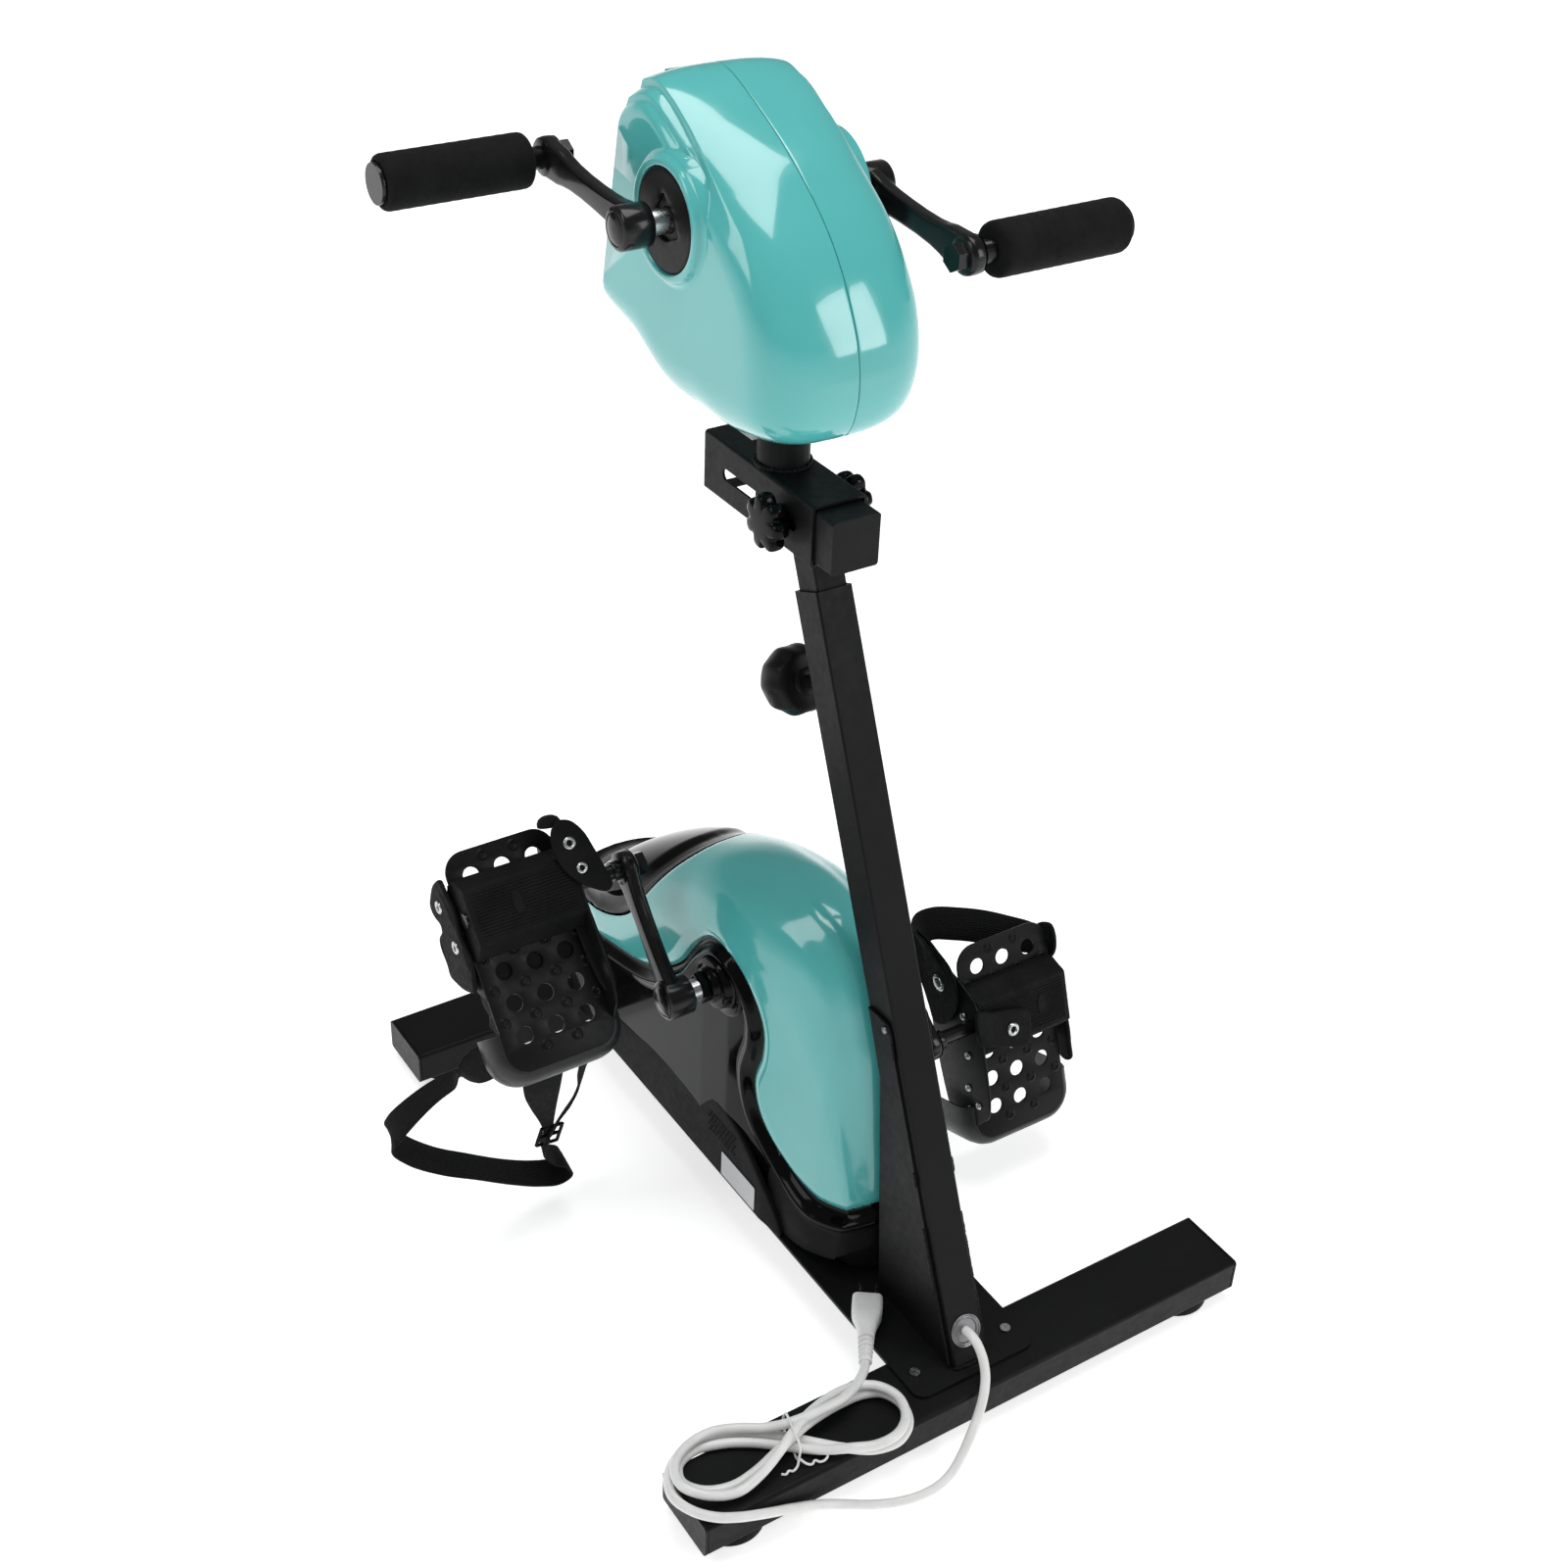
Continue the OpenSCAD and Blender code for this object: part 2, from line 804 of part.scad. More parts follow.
// A strap as a band of thickness t along a path drawn in X and Z, w wide along Y.
module band(pts, t, w) {
    p = smooth([for (q = pts) [q[0], q[1], 0]], 4);
    n = len(p);
    nrm = [for (i = [0:n - 1]) let (d = along(p, i)) [-d[1], d[0]]];
    rotate([90, 0, 0])
        linear_extrude(w, center = true)
            polygon(concat(
                [for (i = [0:n - 1]) [p[i][0], p[i][1]] + nrm[i] * t / 2],
                [for (i = [0:n - 1]) [p[n - 1 - i][0], p[n - 1 - i][1]] - nrm[n - 1 - i] * t / 2]));
}

module strap_left() {
    color("#111113")
        translate([0, strap_y_l, 0])
            band(strap_l, strap_t, 25);
}

module strap_right() {
    color("#111113")
        on_pedal(1)
            translate([0, strap_y_r, 0])
                band(strap_r, strap_t, 25);
}

// The inner mast tube with the clamp block welded on its top.
module mast() {
    color("#1b1c1f")
        difference() {
            union() {
                difference() {
                    on_post()
                        translate([0, 0, post_len - mast_in])
                            box_tube(mast_w, mast_w, mast_in + 70, 1.5, wall);
                    translate([-50, 100, block_z - block_h / 2 + 1])
                        cube([100, 300, 200]);
                }
                difference() {
                    translate([0, block_y0, block_z])
                        rotate([-90, 0, 0])
                            linear_extrude(block_y1 - block_y0)
                                rrect(block_w, block_h, 2.5);
                    translate([-block_w / 2 + 3, block_y0 + 3, block_z - block_h / 2 + 3])
                        cube([block_w - 6, block_y1 - block_y0, block_h - 6]);
                }
                for (s = [-1, 1])
                    xcyl(9, min(s * 6, s * 17.5), max(s * 6, s * 17.5), clamp_y, block_z);
            }
            xcyl(4 + run, -50, 50, clamp_y, block_z);
        }
}

// The height clamp: fluted knob on a stud through the post's welded nut.
module height_knob() {
    color("#131315")
        on_post()
            translate([0, 0, knob_t])
                rotate([-90, 0, 0]) {
                    translate([0, 0, mast_w / 2 + 0.3])
                        cylinder(r = 5, h = 34);
                    translate([0, 0, 45])
                        difference() {
                            cylinder(r1 = 19, r2 = 25, h = 26);
                            for (a = [0:45:315])
                                rotate([0, 0, a])
                                    translate([28, 0, -1])
                                        cylinder(r = 5, h = 40);
                        }
                    translate([0, 0, 71])
                        cylinder(r1 = 22, r2 = 10, h = 7);
                }
}

slot_y0 = 250;
slot_y1 = 346;
slot_h = 9;
module sleeve() {
    y1 = sleeve_y0 + sleeve_len;
    z1 = sleeve_z0 + sleeve_h;
    color("#1b1c1f") {
        difference() {
            translate([0, sleeve_y0, sleeve_z0 + sleeve_h / 2])
                rotate([-90, 0, 0])
                    box_tube(sleeve_w, sleeve_h, sleeve_len, 2.5, wall);
            translate([-15, sleeve_y0 - 1, sleeve_z0 - 1])
                cube([30, sleeve_len - 10, 4]);
            for (y = [slot_y0 + slot_h / 2, slot_y1 - slot_h / 2])
                xcyl(slot_h / 2, -40, 40, y, block_z);
            translate([-40, slot_y0 + slot_h / 2, block_z - slot_h / 2])
                cube([80, slot_y1 - slot_y0 - slot_h, slot_h]);
        }
        translate([0, stub_y, z1])
            difference() {
                cylinder(r = stub_r, h = 706 - z1);
                translate([0, 0, -1])
                    cylinder(r = stub_r - 2.5, h = 80);
            }
    }
}

module clamp_knob(s) {
    mirror([s < 0 ? 1 : 0, 0, 0]) {
        xcyl(4, 7, 26, clamp_y, block_z);
        xcyl(10, sleeve_w / 2 + 0.3, 30, clamp_y, block_z);
        difference() {
            xcyl(21, 29, 41, clamp_y, block_z);
            for (a = [0:360 / 7:359])
                xcyl(5.5, 28, 50, clamp_y + 21.5 * cos(a), block_z + 21.5 * sin(a));
        }
    }
}

module clamp_knob_left() {
    color("#131315")
        clamp_knob(-1);
}

module clamp_knob_right() {
    color("#131315")
        clamp_knob(1);
}

module head_frame() {
    color("#55585c")
        difference() {
            union() {
                translate([-46, 268, 706])
                    cube([92, 104, 4]);
                for (s = [-1, 1])
                    yz(s * 46 - 2, s * 46 + 2)
                        polygon([[268, 706], [372, 706], [372, 850], [364, 866], [334, 866],
                            [268, 806]]);
            }
            xcyl(16, -60, 60, hand_y, hand_z);
            xcyl(10, -60, -20, head_drive_at[0], head_drive_at[1]);
            translate([0, stub_y, 700])
                cylinder(r = 12, h = 30);
        }
}

module head_bearings() {
    color("silver")
        for (s = [-1, 1])
            bearing(s * 46 - 5, s * 46 + 5, hand_y, hand_z);
}

module head_motor() {
    color("#8a8d92")
        difference() {
            union() {
                xcyl(30, -43.9, 14, head_drive_at[0], head_drive_at[1]);
                xcyl(10 - 0.1, -48, -43.8, head_drive_at[0], head_drive_at[1]);
            }
            xcyl(5 + run, 1, 18, head_drive_at[0], head_drive_at[1]);
        }
}

// One half of the head casing, on side s.
module head_shell(s) {
    x0 = s < 0 ? -100 : 0;
    difference() {
        intersection() {
            union() {
                intersection() {
                    yz(-head_w, head_w)
                        polygon(head_pts);
                    linear_extrude(1000)
                        polygon(plan(head_plan, 0));
                }
                xcyl(40, -76, 76, hand_y, hand_z);
            }
            translate([x0, 0, 500])
                cube([100, 700, 500]);
        }
        intersection() {
            yz(-head_w, head_w)
                polygon(head_in);
            linear_extrude(1000)
                polygon(plan(head_plan, shell_t));
        }
        xcyl(34.2, -80, 80, hand_y, hand_z);
        translate([0, stub_y, 680])
            cylinder(r = stub_r + 0.3, h = 40);
    }
}

module head_shell_left() {
    color("#4fc4bf")
        head_shell(-1);
}

module head_shell_right() {
    color("#4fc4bf")
        head_shell(1);
}

module hub_discs() {
    color("#0e0e10")
        for (s = [-1, 1])
            difference() {
                xcyl(34, min(s * 70, s * 74), max(s * 70, s * 74), hand_y, hand_z);
                xcyl(axle_r + 1.5, -80, 80, hand_y, hand_z);
            }
}

button_x = [-24, 0, 24];
module face_panel() {
    color("#1a1b1e")
        difference() {
            on_face()
                translate([0, 0.5, -4])
                    linear_extrude(3.5)
                        rrect(2 * (head_w - shell_t) - 0.6, 162, 8);
            for (x = button_x)
                on_face()
                    translate([x, 36, -10])
                        cylinder(r = 7.4, h = 20);
        }
}

module display() {
    color("#9fb7a8")
        on_face()
            translate([0, -22, -0.5])
                linear_extrude(1.5)
                    rrect(84, 48, 3);
}

module button(x) {
    on_face()
        translate([x, 36, -9]) {
            cylinder(r = 7, h = 12);
            cylinder(r = 9, h = 3);
        }
}

module button_start() {
    color("#c8382e")
        button(button_x[1]);
}

module button_minus() {
    color("#d9dbdd")
        button(button_x[0]);
}

module button_plus() {
    color("#d9dbdd")
        button(button_x[2]);
}

// The origin is on the floor, under the middle of the machine's box.
strap_reach = -min([for (p = smooth([for (q = strap_l) [q[0], q[1], 0]], 4)) p[0]]) + strap_t / 2;
translate([(strap_reach - front_len / 2) / 2, -wheelbase / 2, 0]) {
    front_crossbar();
    rear_crossbar();
    end_caps();
    feet();
    base_plate();
    plate_screws();
    post();
    grommet();
    cord_lead();
    cord_hank();
    cord_tail();
    plug();
    twist_tie();
    cowl();
    top_cap();
    side_cover_left();
    side_cover_right();
    base_cover();
    drive_frame();
    drive_motor();
    drive_bearings();
    drive_belt();
    control_board();
    mast();
    height_knob();
    sleeve();
    head_frame();
    head_shell_left();
    head_shell_right();
    face_panel();
    display();
    hub_discs();
    head_motor();
    head_belt();
    head_bearings();
    clamp_knob_left();
    clamp_knob_right();
    hand_axle();
    hand_arms();
    hand_spindles();
    hand_pulley();
    head_motor_pulley();
    grip_left();
    grip_right();
    leg_axle();
    leg_arms();
    leg_spindles();
    leg_pulley();
    drive_motor_pulley();
    pedal_block_left();
    footplate_left();
    pedal_screws_left();
    strap_left();
    pedal_block_right();
    footplate_right();
    pedal_screws_right();
    strap_right();
    button_start();
    button_minus();
    button_plus();
}
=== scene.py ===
"""Looks of the motorised arm and leg pedal exerciser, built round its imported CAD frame.

Shapes are written in the machine's own millimetres, as in the CAD source:
X across, Y from the front crossbar towards the user, Z up from the floor.
"""
import math

import bmesh
import bpy
import numpy as np
from mathutils import Matrix, Vector


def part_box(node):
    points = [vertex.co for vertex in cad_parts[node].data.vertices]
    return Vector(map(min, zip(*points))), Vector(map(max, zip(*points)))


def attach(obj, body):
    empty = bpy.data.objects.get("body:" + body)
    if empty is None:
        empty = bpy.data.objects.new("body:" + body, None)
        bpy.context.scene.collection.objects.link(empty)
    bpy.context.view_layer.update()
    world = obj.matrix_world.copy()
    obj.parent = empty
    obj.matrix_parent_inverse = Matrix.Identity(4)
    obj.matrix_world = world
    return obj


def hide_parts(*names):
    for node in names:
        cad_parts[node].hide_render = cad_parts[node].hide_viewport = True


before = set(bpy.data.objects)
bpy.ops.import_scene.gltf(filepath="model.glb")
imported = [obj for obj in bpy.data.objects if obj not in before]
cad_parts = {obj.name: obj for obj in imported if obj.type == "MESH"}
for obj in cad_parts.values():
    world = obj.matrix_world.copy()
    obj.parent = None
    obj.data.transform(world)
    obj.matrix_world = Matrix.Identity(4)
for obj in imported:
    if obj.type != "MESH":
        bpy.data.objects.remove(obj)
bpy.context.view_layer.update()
lo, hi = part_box("front_crossbar")
SHIFT = np.array([(lo.x + hi.x) / 2, (lo.y + hi.y) / 2, 0.0]) * 1000
X, Y, Z = np.eye(3)
TURN = 2 * math.pi


# ---------------------------------------------------------------- materials

def new_material(name, color, rough, metallic=0.0, coat=0.0, coat_rough=0.05, spec=0.5, sheen=0.0):
    m = bpy.data.materials.new(name)
    m.use_nodes = True
    s = m.node_tree.nodes["Principled BSDF"]
    s.inputs["Base Color"].default_value = (*color, 1)
    s.inputs["Roughness"].default_value = rough
    s.inputs["Metallic"].default_value = metallic
    s.inputs["Coat Weight"].default_value = coat
    s.inputs["Coat Roughness"].default_value = coat_rough
    s.inputs["Specular IOR Level"].default_value = spec
    s.inputs["Sheen Weight"].default_value = sheen
    m.diffuse_color = (*color, 1)
    return m


def texture(m, kind, source="Object", **values):
    """A texture node on object or UV coordinates, with its input values."""
    t = m.node_tree
    c = t.nodes.new("ShaderNodeUVMap" if source == "UV" else "ShaderNodeTexCoord")
    n = t.nodes.new("ShaderNodeTex" + kind)
    for key, value in values.items():
        n.inputs[key].default_value = value
    t.links.new(c.outputs[source], n.inputs["Vector"])
    return n


def noise(m, scale, detail=2.0):
    return texture(m, "Noise", Scale=scale, Detail=detail).outputs["Fac"]


def spread(m, fac, low, high, f0=0.3, f1=0.7):
    t = m.node_tree
    r = t.nodes.new("ShaderNodeMapRange")
    for key, value in (("From Min", f0), ("From Max", f1), ("To Min", low), ("To Max", high)):
        r.inputs[key].default_value = value
    t.links.new(fac, r.inputs["Value"])
    return r.outputs["Result"]


def rough_from(m, fac, low, high):
    s = m.node_tree.nodes["Principled BSDF"]
    m.node_tree.links.new(spread(m, fac, low, high), s.inputs["Roughness"])


def tint_from(m, fac, a, b, f0=0.35, f1=0.65):
    t = m.node_tree
    r = t.nodes.new("ShaderNodeValToRGB")
    for k, (position, color) in enumerate(((f0, a), (f1, b))):
        r.color_ramp.elements[k].position = position
        r.color_ramp.elements[k].color = (*color, 1)
    t.links.new(fac, r.inputs["Fac"])
    t.links.new(r.outputs["Color"], t.nodes["Principled BSDF"].inputs["Base Color"])


def bump_from(m, *layers):
    """Each layer is (height, distance in metres, strength)."""
    t = m.node_tree
    last = None
    for fac, distance, strength in layers:
        b = t.nodes.new("ShaderNodeBump")
        b.inputs["Distance"].default_value = distance
        b.inputs["Strength"].default_value = strength
        t.links.new(fac, b.inputs["Height"])
        if last:
            t.links.new(last, b.inputs["Normal"])
        last = b.outputs["Normal"]
    t.links.new(last, t.nodes["Principled BSDF"].inputs["Normal"])


def finish(name, low, high, rough, tint, wear, bumps, **shader):
    """A finish whose colour and roughness wander between two values.

    tint and wear are the scale and detail of the noise behind each; a bump is (scale, detail, metres, strength).
    """
    m = new_material(name, low, rough[0], **shader)
    tint_from(m, noise(m, *tint), low, high)
    rough_from(m, noise(m, *wear), *rough)
    bump_from(m, *[(noise(m, scale, detail), far, strength) for scale, detail, far, strength in bumps])
    return m


def matte_plastic(name, a, b, rough=(0.5, 0.62), grain=1100, strength=0.4, spec=0.45):
    return finish(name, a, b, rough, (20, 3), (220, 3), [(grain, 3, 0.00012, strength)], spec=spec)


def steel(name="bright_steel", base=(0.55, 0.55, 0.56), rough=(0.18, 0.34)):
    worn = tuple(0.88 * x for x in base)
    return finish(name, worn, base, rough, (80, 4), (700, 3), [(1500, 2, 0.00005, 0.3)], metallic=1.0)


def foam():
    """Open-cell foam: small pits over a soft, uneven surface."""
    m = new_material("foam", (0.0075, 0.0075, 0.0078), 0.9, spec=0.06, sheen=0.02)
    m.node_tree.nodes["Principled BSDF"].inputs["Sheen Roughness"].default_value = 0.6
    cells = texture(m, "Voronoi", Scale=1300)
    tint_from(m, noise(m, 60, 3), (0.0065, 0.0065, 0.0068), (0.0095, 0.0095, 0.0098))
    rough_from(m, noise(m, 300, 2), 0.82, 0.95)
    bump_from(m, (cells.outputs["Distance"], 0.0003, 0.5), (noise(m, 160, 3), 0.0005, 0.25))
    return m


def webbing():
    """Flat woven strap: ribs across and along, from two crossed waves of the strap's own UV."""
    m = new_material("webbing", (0.0055, 0.0055, 0.0058), 0.82, spec=0.1, sheen=0.04)
    waves = []
    for axis, scale in (("X", 200.0), ("Y", 150.0)):
        w = texture(m, "Wave", "UV", Scale=scale, Distortion=0.6, Detail=1.0)
        w.bands_direction = axis
        w.wave_profile = "SIN"
        waves.append(w.outputs["Fac"])
    tint_from(m, waves[1], (0.005, 0.005, 0.0055), (0.011, 0.011, 0.0115), 0.2, 0.8)
    rough_from(m, noise(m, 400, 3), 0.72, 0.9)
    bump_from(m, (waves[0], 0.0004, 0.6), (waves[1], 0.0004, 0.8), (noise(m, 2200, 2), 0.0002, 0.5))
    return m


def white_pvc():
    m = finish("white_pvc", (0.775, 0.775, 0.765), (0.83, 0.83, 0.82), (0.26, 0.42), (60, 3), (240, 3),
               [(500, 2, 0.0001, 0.15)])
    s = m.node_tree.nodes["Principled BSDF"]
    s.inputs["Subsurface Weight"].default_value = 0.08
    s.inputs["Subsurface Radius"].default_value = (0.002, 0.002, 0.0018)
    return m


POWDER = finish("powder_coat", (0.0062, 0.0063, 0.0067), (0.0085, 0.0086, 0.0091), (0.36, 0.50), (9, 3), (160, 3),
                [(1400, 3, 0.0001, 0.35), (330, 2, 0.0001, 0.12)], spec=0.10)
TEAL = finish("gloss_teal", (0.079, 0.42, 0.41), (0.086, 0.44, 0.43), (0.10, 0.19), (14, 3), (60, 4),
              [(75, 2, 0.0003, 0.05), (900, 2, 0.00005, 0.05)], coat=0.6, coat_rough=0.03, spec=0.45)
GLOSS = finish("gloss_black", (0.0024, 0.0024, 0.0026), (0.0032, 0.0032, 0.0035), (0.07, 0.15), (12, 3), (70, 4),
               [(80, 2, 0.0003, 0.05)], coat=0.12, coat_rough=0.03, spec=0.06)
FORGED = finish("forged_black", (0.0045, 0.0045, 0.005), (0.0075, 0.0075, 0.008), (0.20, 0.27), (45, 4), (110, 3),
                [(90, 2, 0.0003, 0.10), (1200, 2, 0.00005, 0.08)], coat=0.22, coat_rough=0.12, spec=0.18)
RUBBER = finish("rubber", (0.0055, 0.0055, 0.0058), (0.009, 0.009, 0.0093), (0.58, 0.78), (40, 4), (260, 3),
                [(1000, 3, 0.00015, 0.4)], spec=0.10)
MATTE = matte_plastic("matte_black", (0.0058, 0.0058, 0.006), (0.0082, 0.0082, 0.0085), (0.32, 0.44), 900, 0.3, 0.12)
COVER = matte_plastic("base_grey", (0.0085, 0.0085, 0.009), (0.0125, 0.0125, 0.013), (0.44, 0.56), 1100, 0.4, 0.04)
SATIN = matte_plastic("satin_steel_black", (0.014, 0.014, 0.0148), (0.019, 0.019, 0.02), (0.34, 0.46), 700, 0.2, 0.35)
BOARD = matte_plastic("board_green", (0.012, 0.13, 0.045), (0.02, 0.17, 0.06), (0.3, 0.5))
GLASS = matte_plastic("display_window", (0.30, 0.37, 0.32), (0.34, 0.41, 0.36), (0.08, 0.14), 300, 0.03)
LABEL = matte_plastic("blank_label", (0.46, 0.47, 0.48), (0.52, 0.53, 0.54), (0.28, 0.4), 400, 0.08)
RED = matte_plastic("button_red", (0.50, 0.045, 0.03), (0.56, 0.06, 0.04), (0.35, 0.5))
PALE = matte_plastic("button_grey", (0.62, 0.63, 0.64), (0.68, 0.69, 0.70), (0.35, 0.5))
STEEL = steel()
DARK_STEEL = steel("dark_steel", (0.23, 0.23, 0.235), (0.28, 0.44))
MOTOR = steel("motor_can", (0.42, 0.43, 0.44), (0.3, 0.45))
FOAM = foam()
WEB = webbing()
PVC = white_pvc()


# ---------------------------------------------------------------- mesh helpers

def circle(n, start=0.0, stop=TURN, ends=False):
    return np.linspace(start, stop, n, endpoint=ends)


def unit(rows):
    return rows / np.linalg.norm(rows, axis=1)[:, None]


def lengths(path):
    """Distance along a path at each of its points."""
    return np.concatenate([[0], np.cumsum(np.linalg.norm(np.diff(path, axis=0), axis=1))])


def laid(at, outline, u, v):
    """A flat outline of (a, b) pairs placed in space along u and v."""
    outline = np.asarray(outline, float)
    return np.array(at) + np.outer(outline[:, 0], u) + np.outer(outline[:, 1], v)


def quads(rows, cols, wrap):
    """Faces of a grid of points; wrap closes each row."""
    return [[i * cols + j, i * cols + (j + 1) % cols, (i + 1) * cols + (j + 1) % cols, (i + 1) * cols + j]
            for i in range(rows - 1) for j in range(cols if wrap else cols - 1)]


class Shape:
    """Points in millimetres and faces, gathered from simple surfaces into one mesh."""

    def __init__(self):
        self.v, self.f, self.n = [], [], 0

    def add(self, v, f):
        v = np.asarray(v, float).reshape(-1, 3)
        self.v.append(v)
        self.f += [[int(i) + self.n for i in q] for q in f]
        self.n += len(v)
        return self

    def grid(self, p, wrap=False, caps=(False, False)):
        """A grid of points [rows, columns, 3]; wrap closes each row, caps close the first and last."""
        p = np.asarray(p, float)
        a, b = p.shape[:2]
        f = quads(a, b, wrap)
        if caps[0]:
            f.append(list(range(b))[::-1])
        if caps[1]:
            f.append([(a - 1) * b + j for j in range(b)])
        return self.add(p.reshape(-1, 3), f)

    def turn(self, profile, at, axis, n=48):
        """A profile of (radius, height) pairs turned about an axis through a point."""
        u, v, w = basis(axis)
        ring = np.stack([np.cos(circle(n)), np.sin(circle(n))], 1)
        rows = [laid(at, r * ring, u, v) + h * np.array(w) for r, h in profile]
        return self.grid(rows, True, (profile[0][0] > 0.01, profile[-1][0] > 0.01))

    def make(self, name, mat, body, replaces=(), slot=None, angle=35, bevel=0, doubles=True):
        v = (np.concatenate(self.v) + SHIFT) / 1000
        me = bpy.data.meshes.new(name)
        me.from_pydata(v.tolist(), [], self.f)
        bm = bmesh.new()
        bm.from_mesh(me)
        if doubles:
            bmesh.ops.remove_doubles(bm, verts=bm.verts, dist=2e-6)
        bmesh.ops.dissolve_degenerate(bm, dist=1e-7, edges=bm.edges)
        bmesh.ops.recalc_face_normals(bm, faces=bm.faces)
        bm.to_mesh(me)
        bm.free()
        me.materials.append(mat)
        me.shade_smooth()
        me.set_sharp_from_angle(angle=math.radians(angle))
        ob = bpy.data.objects.new(name, me)
        bpy.context.scene.collection.objects.link(ob)
        if bevel:
            soften(ob, bevel)
        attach(ob, body)
        if replaces:
            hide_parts(*replaces)
        return ob


def soften(ob, width, angle=40, weld=False):
    if weld:
        ob.modifiers.new("weld", "WELD").merge_threshold = 1e-5
    b = ob.modifiers.new("bevel", "BEVEL")
    b.width = width / 1000
    b.segments = 3
    b.limit_method = "ANGLE"
    b.angle_limit = math.radians(angle)
    b.harden_normals = True


def basis(axis):
    w = np.array(axis, float) / np.linalg.norm(axis)
    h = Z if abs(w[2]) < 0.9 else X
    u = np.cross(h, w)
    u /= np.linalg.norm(u)
    return u, np.cross(w, u), w


def spline(pts, n, closed=False):
    """n points evenly along a smooth curve through pts, with tangents by chord length."""
    p = np.asarray(pts, float)
    m = len(p)
    if closed:
        q = np.vstack([p[-1:], p, p[:2]])
    else:
        q = np.vstack([2 * p[0] - p[1], p, 2 * p[-1] - p[-2]])
    d = np.linalg.norm(np.diff(q, axis=0), axis=1) ** 0.5 + 1e-9
    out = []
    for i in range(m if closed else m - 1):
        p0, p1, p2, p3 = q[i:i + 4]
        d0, d1, d2 = d[i:i + 3]
        t1 = (p1 - p0) / d0 - (p2 - p0) / (d0 + d1) + (p2 - p1) / d1
        t2 = (p2 - p1) / d1 - (p3 - p1) / (d1 + d2) + (p3 - p2) / d2
        t = np.linspace(0, 1, 40, endpoint=False)[:, None]
        out.append((2 * t**3 - 3 * t**2 + 1) * p1 + (t**3 - 2 * t**2 + t) * d1 * t1
                   + (-2 * t**3 + 3 * t**2) * p2 + (t**3 - t**2) * d1 * t2)
    out = np.vstack(out + [p[:1] if closed else p[-1:]])
    s = lengths(out)
    want = np.linspace(0, s[-1], n + 1)[:-1] if closed else np.linspace(0, s[-1], n)
    return np.stack([np.interp(want, s, out[:, k]) for k in range(out.shape[1])], 1)


def tube(path, radius, sides=14, closed=False):
    """Rings round a path; radius is a number or one per point."""
    p = np.asarray(path, float)
    r = np.broadcast_to(np.asarray(radius, float), len(p))
    t = unit(np.roll(p, -1, 0) - np.roll(p, 1, 0) if closed else np.gradient(p, axis=0))
    u = basis(t[0])[0]
    ring = np.stack([np.cos(circle(sides)), np.sin(circle(sides))], 1)
    rows = []
    for i in range(len(p)):
        u = u - (u @ t[i]) * t[i]
        u /= np.linalg.norm(u)
        rows.append(laid(p[i], r[i] * ring, u, np.cross(t[i], u)))
    return rows


def round_rect(w, h, r, n=6):
    out = []
    for cx, cy, a0 in ((w / 2 - r, h / 2 - r, 0), (-w / 2 + r, h / 2 - r, 90),
                       (-w / 2 + r, -h / 2 + r, 180), (w / 2 - r, -h / 2 + r, 270)):
        for k in range(n + 1):
            a = math.radians(a0 + 90 * k / n)
            out.append((cx + r * math.cos(a), cy + r * math.sin(a)))
    return np.array(out)


def inset(poly, d):
    """A closed outline moved inwards along its own normals."""
    p = np.asarray(poly, float)
    t = unit(np.roll(p, -1, 0) - np.roll(p, 1, 0))
    n = np.stack([-t[:, 1], t[:, 0]], 1)
    area = 0.5 * np.sum(p[:, 0] * np.roll(p[:, 1], -1) - np.roll(p[:, 0], -1) * p[:, 1])
    return p + n * (d if area > 0 else -d)


def slab(shape, poly, at, u, v, w, w0, w1, edge=0.8, steps=3):
    """An outline pushed along w from w0 to w1, its end edges rounded by an even inset."""
    rows = []
    for end, sign in ((w0, 1), (w1, -1)):
        for k in range(steps + 1)[::sign]:
            a = math.pi / 2 * k / steps
            h = end + sign * edge * (1 - math.cos(a))
            rows.append(laid(at, inset(poly, edge * (1 - math.sin(a))), u, v) + h * np.array(w))
    shape.grid(rows, True, (True, True))


def smooth(t):
    t = np.clip(t, 0, 1)
    return t * t * (3 - 2 * t)


def quarter(t):
    """How far a quarter-round edge lies below its surface, from 1 at the edge to 0 at t = 1."""
    return 1 - np.sqrt(np.clip(1 - (1 - np.clip(t, 0, 1)) ** 2, 0, 1))


# ---------------------------------------------------------------- camera, floor and light

LENS_MM, YAW, PITCH, ROLL = 50.76, 34.20, 33.89, 2.59
CAMERA_AT = np.array([-782.7, -869.2, 1340.3])


def place_camera():
    data = bpy.data.cameras.new("camera")
    data.sensor_width = 36
    data.lens = LENS_MM
    cam = bpy.data.objects.new("camera", data)
    bpy.context.scene.collection.objects.link(cam)
    yaw, pitch, roll = (math.radians(a) for a in (YAW, PITCH, ROLL))
    fwd = Vector((math.sin(yaw) * math.cos(pitch), math.cos(yaw) * math.cos(pitch), -math.sin(pitch)))
    right = Vector((math.cos(yaw), -math.sin(yaw), 0))
    up = right.cross(fwd)
    rolled_right = right * math.cos(roll) + up * math.sin(roll)
    rolled_up = up * math.cos(roll) - right * math.sin(roll)
    m = Matrix((rolled_right, rolled_up, -fwd)).transposed().to_4x4()
    m.translation = Vector((CAMERA_AT + SHIFT) / 1000)
    cam.matrix_world = m
    bpy.context.scene.camera = cam


